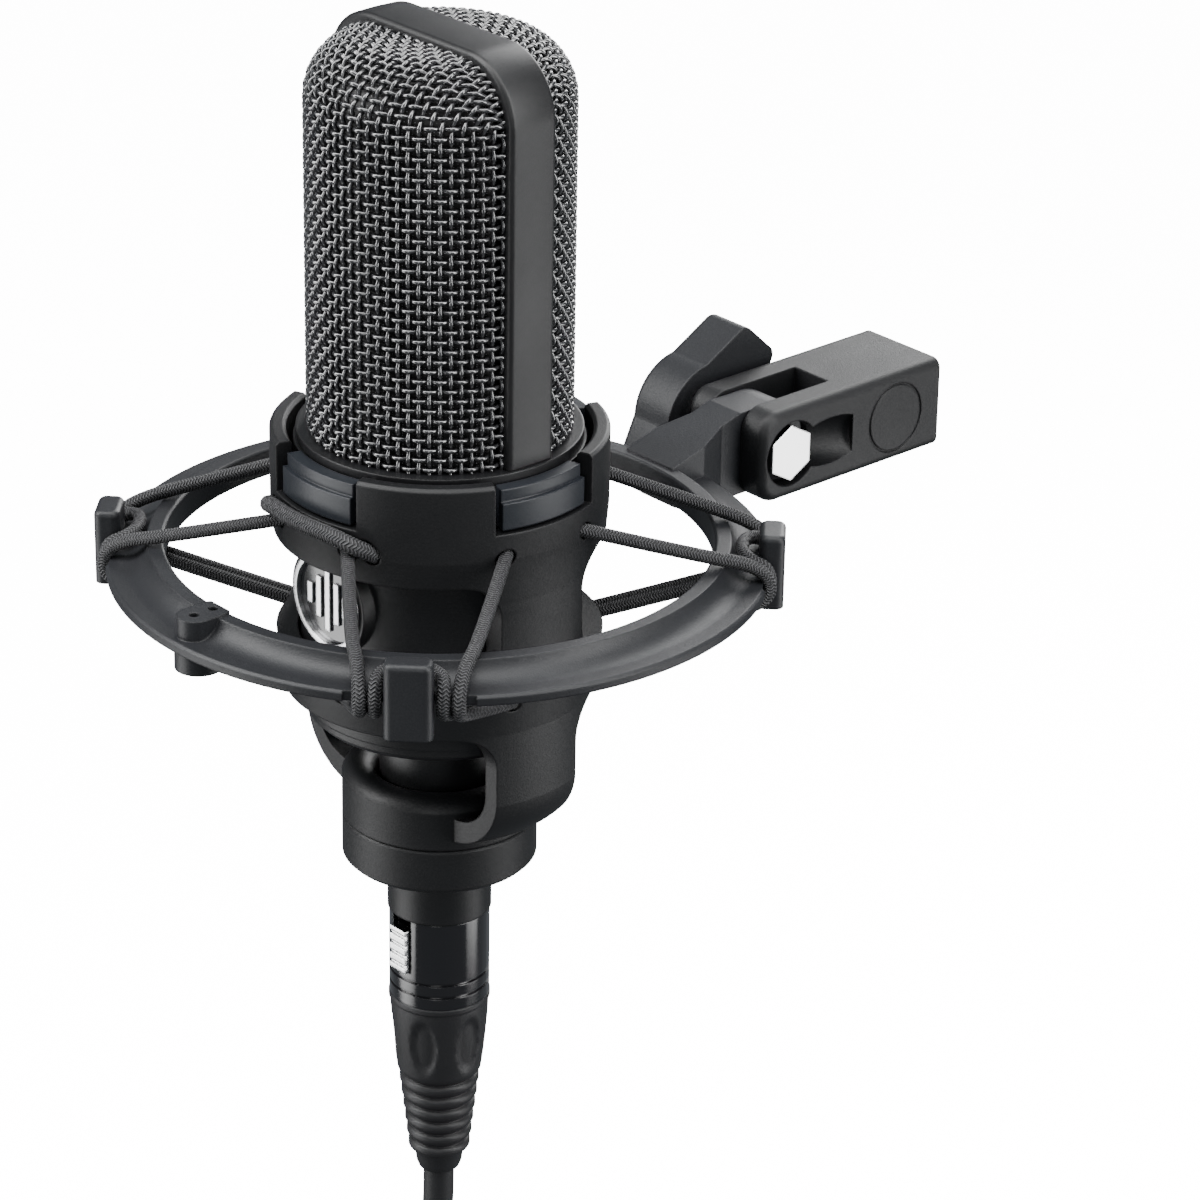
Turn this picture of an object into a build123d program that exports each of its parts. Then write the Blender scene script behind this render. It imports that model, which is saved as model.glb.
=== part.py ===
"""Side-address condenser microphone in an elastic shock mount, with its stand swivel and cable.

All sizes are millimetres.  The model is drawn about the microphone's own axis, with z = 0 at the
level of the swivel's hinge, +X towards the bolt head, -Y towards the microphone's front.  At export
every piece is moved so that the origin is the mouth of the swivel's stand thread.
"""

from build123d import *
from math import cos, pi, radians, sin, tan
import os

# ---------------------------------------------------------------- driving dimensions
SEAT_GAP = 0.05          # gap between pieces that sit in or on each other
FREE_GAP = 0.3           # gap between pieces that move past each other

# microphone body
BODY_R = 25.6
COLLAR_R = BODY_R + 1.1
BODY_WALL = 1.8
COLLAR_LOW_Z = 4.0
RIM_Z = 24.6
HEAD_BASE_H = 2.0
BODY_LOW_Z = -29.5
BASE_PLATE_H = 2.6
BASE_PLATE_R = BODY_R - 0.6
STEM_R = 11.3
STEM_LOW_Z = -62.4
XLR_SHELL_R = 9.9
XLR_BORE_R = 8.2
XLR_LOW_Z = -74.4

# head
HEAD_H = 74.0
MESH_R = BODY_R - 1.2
MESH_TOP_Z = RIM_Z + HEAD_H
MESH_EDGE_R = 11.5
MESH_WALL = 1.5
FINE_GAP = 0.5
FINE_WALL = 0.4
BAND_W = 10.3
BAND_HALF = BODY_R - 0.3
BAND_TOP_Z = MESH_TOP_Z + 1.1
BAND_CORNER_R = 12.0
BAND_WALL = 2.2

# capsule
CAPSULE_Z = RIM_Z + 0.56 * HEAD_H
CAPSULE_R = 16.0
CAPSULE_HALF_T = 4.2
DIAPHRAGM_R = 13.4
POST_R = 4.5

# badge and switches
BADGE_Z = -3.2
BADGE_R = 9.2
BADGE_PROUD_Y = BODY_R + 0.8
BADGE_BAR_PITCH = 2.5
BADGE_BAR_W = 1.4
BADGE_BAR_HEIGHTS = (4.0, 8.0, 12.0, 8.0, 4.0)
SWITCH_Z = -4.0
SWITCH_X = 7.0
SWITCH_TRAVEL = 1.2

# inside the body
BOARD_Y = 0.47 * BODY_R
BOARD_HALF = BODY_R - BODY_WALL - 6.8
RAIL_X = BODY_R - BODY_WALL - 4.6
RAIL_T = 2.8
CAPACITORS = ((-9, 10, 3.1, 7), (0, 12, 3.1, 7), (9, 8, 4.0, 8), (-6, -12, 2.5, 6), (8, -14, 3.1, 7))
CHIPS = ((-10, -2), (-3, 0), (4, -3), (11, -1))

# cradle
CRADLE_R = COLLAR_R + 4.3
CRADLE_BAND_R = CRADLE_R - 0.8
CRADLE_LEG_R = CRADLE_R - 1.8
CRADLE_TOP_Z = RIM_Z + 0.1
WINDOW_TOP_Z = 5.2
BOWL_RIM_Z = -15.5
BAND_LOW_Z = -25.6
FOOT_TOP_Z = -46.3
FOOT_LOW_Z = -53.8
SLEEVE_R = 18.4
LEG_TURN_Z = -40.0
LEG_HALF_W = 9.6
WINDOW_CORNER_R = 7.0
POCKET_HALF_DEG = 21.5
POCKET_LOW_Z = 15.2
PAD_HALF_DEG = 18.5
PAD_TOP_Z = RIM_Z - 1.4
LOCK_LOW_Z = -63.0

# elastics
CORD_R = 1.3
CORD_HOLE_R = 1.65
BRIDGE_R = 1.6
HOLE_DEG = 30.0
HOLE_Z = 11.2
SLOT_Z = -19.5
CORD_PITCH = 2.75

# outer ring
RING_GAP = 19.5
RING_IN_R = CRADLE_R + RING_GAP
RING_FLANGE_R = RING_IN_R + 3.0
RING_LIP_R = RING_IN_R + 7.5
NOTCH_R = RING_IN_R + 9.1
RING_OUT_R = RING_IN_R + 10.7
RING_TOP_Z = 2.6
RING_LIP_Z = -0.8
RING_LOW_Z = -2.7
NOTCH_HALF = 11.6
PEG_W = 8.6
PEG_T = 4.8
PEG_LOW_Z = -8.4
PEG_TOP_Z = 6.0
BOSS_L = 10.4
BOSS_W = 6.4
BOSS_TOP_Z = 3.1
BOSS_FOOT_R = 4.4
BOSS_HOLE_R = 0.9

# swivel
HINGE_Y = RING_OUT_R + 18.3
TONGUE_T = 8.6
TONGUE_H = 17.0
GUSSET_W = 13.0
EAR_GAP = 0.35
CLEVIS_W = 21.5
CLEVIS_H = 18.5
CLEVIS_END_Y = HINGE_Y + 40.0
SLOT_END_Y = HINGE_Y + 15.1
NOSE_REACH = 8.0
NOSE_CORNER_R = 4.5
RING_MARK_R = 7.2
RING_MARK_Y = HINGE_Y + 28.0
BOLT_R = 3.0
BOLT_CLEAR = 0.05
BOLT_AF = 10.0
BOLT_HEAD_H = 4.0
SOCKET_R = 7.45
SOCKET_L = 16.0
KNOB_R = 11.7
KNOB_T = 10.5
WING_REACH = 18.6
WING_W = 11.0
WING_DEG = 47.0

# plug and cable
PLUG_R = 9.6
PLUG_TOP_Z = -74.6
PLUG_GROOVE_Z = -87.6
PLUG_LOW_Z = -93.0
NOSE_R = 7.9
NOSE_H = 10.5
BOOT_LOW_Z = -133.0
CABLE_R = 3.0
COIL_MID_R = 36.0
COIL_ROWS = 4
COIL_LAYERS = 3
COIL_X = 14.0
COIL_TOP_Z = -216.0
TIE_NEAR = 8.0
TIE_FAR = 16.0
TIE_T = 1.2

X_AXIS = Axis.X
Z_AXIS = Axis.Z


# ---------------------------------------------------------------- helpers
def turned(*points):
    """A solid of revolution about the microphone's axis from an (r, z) outline."""
    outline = Polyline(*[(r, 0, z) for r, z in points], close=True)
    return revolve(make_face(outline), Z_AXIS, 360)


def tube(outer_r, inner_r, low_z, high_z):
    """A plain ring about the microphone's axis."""
    return turned((inner_r, low_z), (outer_r, low_z), (outer_r, high_z), (inner_r, high_z))


def rod_z(radius, low_z, high_z, x=0.0, y=0.0):
    """A round rod standing up, from low_z to high_z."""
    return Pos(x, y, (low_z + high_z) / 2) * Cylinder(radius, high_z - low_z)


def rod_x(radius, low_x, high_x, y=0.0, z=0.0):
    """A round rod along X."""
    return Pos((low_x + high_x) / 2, y, z) * Rot(0, 90, 0) * Cylinder(radius, high_x - low_x)


def rod_y(radius, low_y, high_y, x=0.0, z=0.0):
    """A round rod along Y."""
    return Pos(x, (low_y + high_y) / 2, z) * Rot(90, 0, 0) * Cylinder(radius, high_y - low_y)


def block(low, high):
    """A box between two corners."""
    size = [b - a for a, b in zip(low, high)]
    middle = [(a + b) / 2 for a, b in zip(low, high)]
    return Pos(*middle) * Box(*size)


def dome(radius, top_z, edge_r, low_z):
    """A cylinder whose top edge is rounded."""
    body = rod_z(radius, low_z, top_z)
    return fillet(body.edges().group_by(Z_AXIS)[-1], edge_r)


def wedge(half_deg, centre_deg, low_z, high_z, reach=60.0):
    """A sector of space about the axis, half_deg either side of centre_deg."""
    left = radians(centre_deg - half_deg)
    right = radians(centre_deg + half_deg)
    mid = radians(centre_deg)
    corners = [
        (0, 0),
        (reach * cos(left), reach * sin(left)),
        (reach * 1.3 * cos(mid), reach * 1.3 * sin(mid)),
        (reach * cos(right), reach * sin(right)),
    ]
    face = make_face(Polyline(*corners, close=True))
    return Pos(0, 0, low_z) * extrude(face, high_z - low_z)


def polar(radius, angle_deg, z):
    """A point at a radius and angle about the microphone's axis."""
    return (radius * cos(radians(angle_deg)), radius * sin(radians(angle_deg)), z)


def peg_frame(peg_deg, outward, along, z):
    """A point given by its distance outward from the axis towards a peg and along its tangent."""
    c, s = cos(radians(peg_deg)), sin(radians(peg_deg))
    return (outward * c - along * s, outward * s + along * c, z)


def cord(points, radius, share=0.45, smallest=0.0):
    """A round cord along straight runs joined by arcs as large as the runs allow."""
    stations = [Vector(*p) for p in points]
    radii = []
    for before, here, after in zip(stations, stations[1:], stations[2:]):
        turn = radians((here - before).get_angle(after - here))
        shorter = min((here - before).length, (after - here).length)
        radii.append(max(smallest, share * shorter / tan(turn / 2)))
    path = FilletPolyline(*stations, radius=radii)
    start = Plane(origin=stations[0], z_dir=stations[1] - stations[0])
    solid = sweep(start * Circle(radius), path=path)
    return solid, radii, path.length


PIECES = {}


def keep(name, shape):
    """Register a finished piece under its node name."""
    PIECES[name] = shape


# ---------------------------------------------------------------- the microphone's head
def head():
    """Woven grille halves, the fine screens behind them and the hoop over the top."""
    outer = dome(MESH_R, MESH_TOP_Z, MESH_EDGE_R, RIM_Z)
    inner = dome(MESH_R - MESH_WALL, MESH_TOP_Z - MESH_WALL, MESH_EDGE_R - MESH_WALL, RIM_Z - 1)
    shell = outer - inner
    half = BAND_W / 2 + SEAT_GAP
    far = BAND_HALF * 2
    front_space = block((-far, -far, RIM_Z - 1), (far, -half, BAND_TOP_Z + 1))
    back_space = block((-far, half, RIM_Z - 1), (far, far, BAND_TOP_Z + 1))
    keep("grille_front", shell & front_space)
    keep("grille_back", shell & back_space)

    fine_r = MESH_R - MESH_WALL - FINE_GAP
    fine_top = MESH_TOP_Z - MESH_WALL - FINE_GAP
    fine_edge = MESH_EDGE_R - MESH_WALL - FINE_GAP
    fine = dome(fine_r, fine_top, fine_edge, RIM_Z)
    fine -= dome(fine_r - FINE_WALL, fine_top - FINE_WALL, fine_edge - FINE_WALL, RIM_Z - 1)
    keep("fine_screen_front", fine & block((-far, -far, RIM_Z - 1), (far, -SEAT_GAP, BAND_TOP_Z)))
    keep("fine_screen_back", fine & block((-far, SEAT_GAP, RIM_Z - 1), (far, far, BAND_TOP_Z)))

    def hoop_body(half_w, top_z, corner_r, depth):
        middle_z = (RIM_Z + top_z) / 2
        slab = Pos(0, 0, middle_z) * Box(half_w * 2, depth, top_z - RIM_Z)
        upper = slab.edges().filter_by(Axis.Y).group_by(Z_AXIS)[-1]
        return fillet(upper, corner_r)

    hoop = hoop_body(BAND_HALF, BAND_TOP_Z, BAND_CORNER_R, BAND_W)
    inside = hoop_body(BAND_HALF - BAND_WALL, BAND_TOP_Z - BAND_WALL, BAND_CORNER_R - BAND_WALL, BAND_W * 2)
    keep("grille_band", hoop - inside)

    keep("head_base", tube(COLLAR_R - 0.5, fine_r - 3.0, RIM_Z - HEAD_BASE_H, RIM_Z))


def capsule():
    """The large-diaphragm capsule on its rubber post."""
    def disc(radius, low_y, high_y):
        return rod_y(radius, low_y, high_y, z=CAPSULE_Z)

    t = CAPSULE_HALF_T
    housing = disc(CAPSULE_R, -t, t) - disc(DIAPHRAGM_R + 1.2, -t - 1, t + 1)
    keep("capsule_housing", housing)
    plates = disc(DIAPHRAGM_R + 1.15, -t + 1.6, -0.4) + disc(DIAPHRAGM_R + 1.15, 0.4, t - 1.6)
    keep("capsule_backplates", plates)
    films = []
    rings = []
    for side in (-1, 1):
        near, far = sorted((side * (t - 1.5), side * (t - 1.2)))
        films.append(disc(DIAPHRAGM_R, near, far))
        near, far = sorted((side * (t - 1.1), side * (t - 0.2)))
        ring = disc(DIAPHRAGM_R + 1.15, near, far) - disc(DIAPHRAGM_R - 1.4, near - 1, far + 1)
        rings.append(ring)
    keep("diaphragms", Compound(children=films))
    keep("clamp_rings", Compound(children=rings))
    post = rod_z(POST_R, RIM_Z + 1.6, CAPSULE_Z)
    post -= disc(CAPSULE_R + SEAT_GAP, -t - 3, t + 3)
    keep("capsule_post", post)
    plate = rod_z(MESH_R - MESH_WALL - FINE_GAP - FINE_WALL - 0.4, RIM_Z + SEAT_GAP, RIM_Z + 1.5)
    keep("head_deck", plate)


# ---------------------------------------------------------------- the microphone's body
def body():
    """Body tube with its badge boss and switch windows, and everything inside it."""
    top_z = RIM_Z - HEAD_BASE_H - SEAT_GAP
    shell = turned(
        (0, BODY_LOW_Z),
        (BODY_R, BODY_LOW_Z),
        (BODY_R, COLLAR_LOW_Z),
        (COLLAR_R, COLLAR_LOW_Z + 1.2),
        (COLLAR_R, top_z),
        (0, top_z),
    )
    shell += rod_y(BADGE_R + 1.0, -BADGE_PROUD_Y, -BODY_R + 6, z=BADGE_Z)
    shell -= rod_z(BODY_R - BODY_WALL, BODY_LOW_Z - 1, top_z + 1)
    shell -= rod_y(BADGE_R + SEAT_GAP, -BADGE_PROUD_Y - 1, -BADGE_PROUD_Y + 1.2, z=BADGE_Z)
    shell -= rod_y(BADGE_R - 1.0, -BODY_R, 0, z=BADGE_Z)
    for x in (-SWITCH_X, SWITCH_X):
        half_x = 2.0 + SWITCH_TRAVEL + FREE_GAP
        shell -= block((x - half_x, 20, SWITCH_Z - 1.8), (x + half_x, 30, SWITCH_Z + 1.8))
    keep("body_tube", shell)

    back_y = -BADGE_PROUD_Y + 1.2
    disc = rod_y(BADGE_R - 1.05, back_y - 0.9, back_y - SEAT_GAP, z=BADGE_Z)
    rim = rod_y(BADGE_R, back_y - 1.9, back_y - SEAT_GAP, z=BADGE_Z)
    rim -= rod_y(BADGE_R - 1.0, back_y - 3, back_y + 1, z=BADGE_Z)
    bars = []
    for index, height in enumerate(BADGE_BAR_HEIGHTS):
        x = (index - 2) * BADGE_BAR_PITCH
        low = (x - BADGE_BAR_W / 2, back_y - 1.4, BADGE_Z - height / 2)
        high = (x + BADGE_BAR_W / 2, back_y - 0.95, BADGE_Z + height / 2)
        bars.append(block(low, high))
    keep("badge_disc", disc)
    keep("badge_rim", rim)
    keep("badge_bars", Compound(children=bars))

    bore_r = BODY_R - BODY_WALL
    for name, x in (("pad_switch", -SWITCH_X), ("filter_switch", SWITCH_X)):
        knob = block((x - 2.0, bore_r + 1.0, SWITCH_Z - 1.4), (x + 2.0, BODY_R - 0.2, SWITCH_Z + 1.4))
        foot = block((x - 0.8, bore_r - 3.0, SWITCH_Z - 0.8), (x + 0.8, bore_r + 1.0, SWITCH_Z + 0.8))
        keep(name, knob + foot)
    cases = []
    for x in (-SWITCH_X, SWITCH_X):
        low = (x - 3.6, bore_r - 6.6, SWITCH_Z - 3.0)
        high = (x + 3.6, bore_r - 3.6, SWITCH_Z + 3.0)
        cases.append(block(low, high))
    keep("switch_bodies", Compound(children=cases))

    board_low = (-BOARD_HALF, BOARD_Y, BODY_LOW_Z + 4.0)
    board_high = (BOARD_HALF, BOARD_Y + 1.6, RIM_Z - 6)
    keep("circuit_board", block(board_low, board_high))
    parts = []
    for x, z, radius, height in CAPACITORS:
        parts.append(rod_y(radius, BOARD_Y - height, BOARD_Y - SEAT_GAP, x=x, z=z))
    for x, z in CHIPS:
        parts.append(block((x - 2, BOARD_Y - 2.4, z - 1.2), (x + 2, BOARD_Y - SEAT_GAP, z + 1.2)))
    keep("board_components", Compound(children=parts))
    rails = []
    for x in (-RAIL_X, RAIL_X):
        low = (x - RAIL_T / 2, BOARD_Y - 14, BODY_LOW_Z + SEAT_GAP)
        high = (x + RAIL_T / 2, BOARD_Y - 1, RIM_Z - HEAD_BASE_H - 0.2)
        rails.append(block(low, high))
    keep("chassis_rails", Compound(children=rails))


def base():
    """Base plate, its screws, the threaded stem and the three-pin connector."""
    low_z = BODY_LOW_Z - BASE_PLATE_H
    plate = turned(
        (0, low_z),
        (BASE_PLATE_R - 1.0, low_z),
        (BASE_PLATE_R, low_z + 1.0),
        (BASE_PLATE_R, BODY_LOW_Z - SEAT_GAP),
        (0, BODY_LOW_Z - SEAT_GAP),
    )
    screws = []
    for angle in (-45.0, 75.0, 195.0):
        x, y, _ = polar(BASE_PLATE_R - 3.6, angle, 0)
        plate -= rod_z(2.1, low_z - 1, low_z + 1.4, x, y)
        head = rod_z(2.0, low_z - 0.3, low_z + 1.35, x, y)
        cross = Pos(x, y, low_z - 0.3) * Rot(0, 0, angle) * (Box(2.2, 0.5, 1.2) + Box(0.5, 2.2, 1.2))
        screws.append(head - cross)
    plate -= rod_z(STEM_R + SEAT_GAP, low_z - 1, BODY_LOW_Z + 1)
    keep("base_plate", plate)
    keep("base_screws", Compound(children=screws))

    stem = tube(STEM_R, XLR_SHELL_R + SEAT_GAP, STEM_LOW_Z, low_z + BASE_PLATE_H - 0.1)
    keep("stem", stem)
    shell = tube(XLR_SHELL_R, XLR_BORE_R, XLR_LOW_Z, STEM_LOW_Z + 12.0)
    keep("xlr_shell", shell)
    floor_z = XLR_LOW_Z + NOSE_H + 2.0
    insert = rod_z(XLR_BORE_R - SEAT_GAP, floor_z, floor_z + 6.0)
    pins = []
    for angle in (210.0, 330.0, 90.0):
        x, y, _ = polar(4.4, angle, 0)
        insert -= rod_z(1.25, floor_z - 1, floor_z + 7.0, x, y)
        pin = rod_z(1.2, floor_z - 9.0, floor_z + 8.0, x, y)
        pins.append(fillet(pin.edges().group_by(Z_AXIS)[0], 0.9))
    keep("xlr_insert", insert)
    keep("xlr_pins", Compound(children=pins))


# ---------------------------------------------------------------- the cradle
def cord_routes(peg_deg):
    """The five cord stretches about one peg, each a list of stations."""
    side_routes = []
    notch_z = RING_LOW_Z - CORD_R - 0.1
    outer_r = NOTCH_R + CORD_R + 0.15
    for side in (-1, 1):
        inner_lane = side * (PEG_W / 2 + CORD_R + 0.3)
        outer_lane = inner_lane + side * CORD_PITCH
        hole_r = CRADLE_R - 2.2
        hole = (hole_r * cos(radians(HOLE_DEG)), side * hole_r * sin(radians(HOLE_DEG)))
        slot_r = CRADLE_BAND_R - 2.4
        slot = (slot_r * cos(radians(HOLE_DEG)), side * slot_r * sin(radians(HOLE_DEG)))
        flange_z = RING_TOP_Z + CORD_R + 0.25
        over = [
            (hole[0], hole[1], HOLE_Z),
            (RING_IN_R - 1.0, outer_lane + side * 2.6, flange_z + 0.6),
            (RING_LIP_R - 2.0, outer_lane + side * 0.8, flange_z - 0.9),
            (outer_r - 0.4, outer_lane, RING_LIP_Z + 1.4),
            (outer_r, outer_lane, notch_z + 0.6),
            (outer_r - 2.6, outer_lane + side * 0.1, notch_z - 1.5),
            (slot[0], slot[1] + side * CORD_PITCH / 2, SLOT_Z),
        ]
        side_routes.append((side, over))
    lane = PEG_W / 2 + CORD_R + 0.3
    slot_r = CRADLE_BAND_R - 2.4
    slot = (slot_r * cos(radians(HOLE_DEG)), slot_r * sin(radians(HOLE_DEG)))
    half = [
        (slot[0], slot[1] - CORD_PITCH / 2, SLOT_Z),
        (outer_r - 2.6, lane + 0.1, notch_z - 1.5),
        (outer_r, lane, notch_z + 0.6),
        (outer_r - 0.5, lane + 0.1, RING_LIP_Z + 1.5),
        (RING_LIP_R - 0.6, lane - 0.3, RING_LIP_Z + 2.6),
    ]
    crown = [(RING_LIP_R - 2.5, 2.4, RING_LIP_Z + 3.0)]
    right = half + crown
    left = [(o, -a, z) for o, a, z in reversed(right)]
    loop = right + left
    routes = [route for _, route in side_routes] + [loop]
    return [[peg_frame(peg_deg, *station) for station in route] for route in routes]


def bridge_route():
    """The heavier cord that crosses the front of the cradle just under the pad's pocket."""
    half = [
        (CRADLE_R - 1.4, 27.5, HOLE_Z - 0.6),
        (CRADLE_R + BRIDGE_R + 0.2, 23.5, HOLE_Z + 1.6),
        (CRADLE_R + BRIDGE_R + 0.5, 15.0, HOLE_Z + 3.0),
        (CRADLE_R + BRIDGE_R + 0.5, 5.0, HOLE_Z + 3.2),
    ]
    left = [polar(r, -90 - a, z) for r, a, z in half]
    right = [polar(r, -90 + a, z) for r, a, z in reversed(half)]
    return left + right


def cord_hole(points, radius, reach=6.0):
    """A round clearance hole along a cord's first run, from inside the wall outwards."""
    first, second = Vector(*points[0]), Vector(*points[1])
    direction = (second - first).normalized()
    start = first - direction * 0.6
    return extrude(Plane(origin=start, z_dir=direction) * Circle(radius), reach)


PEG_DEGS = (-45.0, 45.0, 135.0, 225.0)
PAD_DEGS = {"front": -90.0, "right": 0.0, "back": 90.0, "left": 180.0}


def cradle():
    """The one-piece cradle: pad ring, two legs, elastic band and sleeve, with its windows cut."""
    inner_top = COLLAR_R + 1.2
    inner_low = BODY_R + 0.6
    upper = Polyline(
        (inner_low, 0, -39.5),
        (inner_low, 0, COLLAR_LOW_Z - 4.5),
        (inner_top, 0, COLLAR_LOW_Z - 2.5),
        (inner_top, 0, CRADLE_TOP_Z - 0.6),
        (inner_top + 0.6, 0, CRADLE_TOP_Z),
        (CRADLE_R - 0.6, 0, CRADLE_TOP_Z),
        (CRADLE_R, 0, CRADLE_TOP_Z - 0.6),
        (CRADLE_R, 0, WINDOW_TOP_Z + 5),
        (CRADLE_BAND_R, 0, WINDOW_TOP_Z - 4),
        (CRADLE_BAND_R, 0, BOWL_RIM_Z),
        (CRADLE_LEG_R, 0, BAND_LOW_Z),
        (CRADLE_LEG_R, 0, LEG_TURN_Z),
    )
    outer_turn = ThreePointArc(
        (CRADLE_LEG_R, 0, LEG_TURN_Z),
        (CRADLE_LEG_R - 3.4, 0, LEG_TURN_Z - 7.6),
        (SLEEVE_R, 0, FOOT_LOW_Z + 1.8),
    )
    sleeve = Polyline(
        (SLEEVE_R, 0, FOOT_LOW_Z + 1.8),
        (SLEEVE_R, 0, FOOT_LOW_Z),
        (STEM_R + 0.6, 0, FOOT_LOW_Z),
        (STEM_R + 0.6, 0, FOOT_TOP_Z + 0.6),
    )
    lip = ThreePointArc(
        (STEM_R + 0.6, 0, FOOT_TOP_Z + 0.6),
        ((STEM_R + SLEEVE_R) / 2 + 0.3, 0, FOOT_TOP_Z + 2.6),
        (SLEEVE_R, 0, FOOT_TOP_Z + 0.2),
    )
    floor_in = Line((SLEEVE_R, 0, FOOT_TOP_Z + 0.2), (SLEEVE_R, 0, FOOT_TOP_Z - 1.0))
    inner_turn = ThreePointArc(
        (SLEEVE_R, 0, FOOT_TOP_Z - 1.0),
        (inner_low - 2.2, 0, FOOT_TOP_Z + 1.8),
        (inner_low, 0, -39.5),
    )
    outline = upper + outer_turn + sleeve + lip + floor_in + inner_turn
    shell = revolve(make_face(outline), Z_AXIS, 360)
    far = CRADLE_R + 12
    for side in (-1, 1):
        low_y, high_y = sorted((side * LEG_HALF_W, side * far))
        upper = block((-far, low_y, BOWL_RIM_Z), (far, high_y, WINDOW_TOP_Z))
        ends = [e for e in upper.edges().filter_by(X_AXIS) if abs(abs(e.center().Y) - LEG_HALF_W) < 0.01]
        shell -= fillet(ends, WINDOW_CORNER_R)
        lower = block((-far, low_y, FOOT_LOW_Z - 1), (far, high_y, BAND_LOW_Z))
        ends = [
            e
            for e in lower.edges().filter_by(X_AXIS)
            if abs(abs(e.center().Y) - LEG_HALF_W) < 0.01 and e.center().Z > BAND_LOW_Z - 1
        ]
        lower = fillet(ends, WINDOW_CORNER_R)
        shell -= lower - rod_z(SLEEVE_R, FOOT_LOW_Z - 2, BAND_LOW_Z + 1)
    for angle in PAD_DEGS.values():
        shell -= wedge(POCKET_HALF_DEG, angle, POCKET_LOW_Z, CRADLE_TOP_Z + 1)
    for peg_deg in PEG_DEGS:
        routes = cord_routes(peg_deg)
        for route in routes[:2]:
            shell -= cord_hole(route, CORD_HOLE_R)
            shell -= cord_hole(route[::-1], CORD_HOLE_R)
        shell -= cord_hole(routes[2], CORD_HOLE_R)
        shell -= cord_hole(routes[2][::-1], CORD_HOLE_R)
    bridge = bridge_route()
    shell -= cord_hole(bridge, BRIDGE_R + 0.3)
    shell -= cord_hole(bridge[::-1], BRIDGE_R + 0.3)
    keep("cradle", shell)

    pad_out = CRADLE_R - 0.7
    for name, angle in PAD_DEGS.items():
        pad = tube(pad_out, COLLAR_R + SEAT_GAP, POCKET_LOW_Z + 0.5, PAD_TOP_Z - 2.4)
        pad += tube(pad_out - 0.9, COLLAR_R + SEAT_GAP, PAD_TOP_Z - 2.4, PAD_TOP_Z)
        keep(f"cradle_pad_{name}", pad & wedge(PAD_HALF_DEG, angle, 0, 60))

    lock = turned(
        (STEM_R + 0.06, LOCK_LOW_Z + 0.8),
        (STEM_R + 0.9, LOCK_LOW_Z),
        (SLEEVE_R - 0.8, LOCK_LOW_Z),
        (SLEEVE_R, LOCK_LOW_Z + 0.8),
        (SLEEVE_R, FOOT_LOW_Z - 0.7),
        (SLEEVE_R - 0.3, FOOT_LOW_Z - FREE_GAP),
        (STEM_R + 0.06, FOOT_LOW_Z - FREE_GAP),
    )
    keep("lock_ring", lock)


# ---------------------------------------------------------------- the outer ring and elastics
def peg_solid(peg_deg, grow=0.0):
    """One peg of the outer ring, its top edges rounded."""
    low = (RING_OUT_R - 2.6 - grow, -PEG_W / 2 - grow, PEG_LOW_Z)
    high = (RING_OUT_R - 2.6 + PEG_T + grow, PEG_W / 2 + grow, PEG_TOP_Z)
    peg = block(low, high)
    if not grow:
        peg = fillet(peg.edges().filter_by(Z_AXIS), 1.6)
        peg = fillet(peg.edges().group_by(Z_AXIS)[-1], 1.0)
    return Rot(0, 0, peg_deg) * peg


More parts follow.
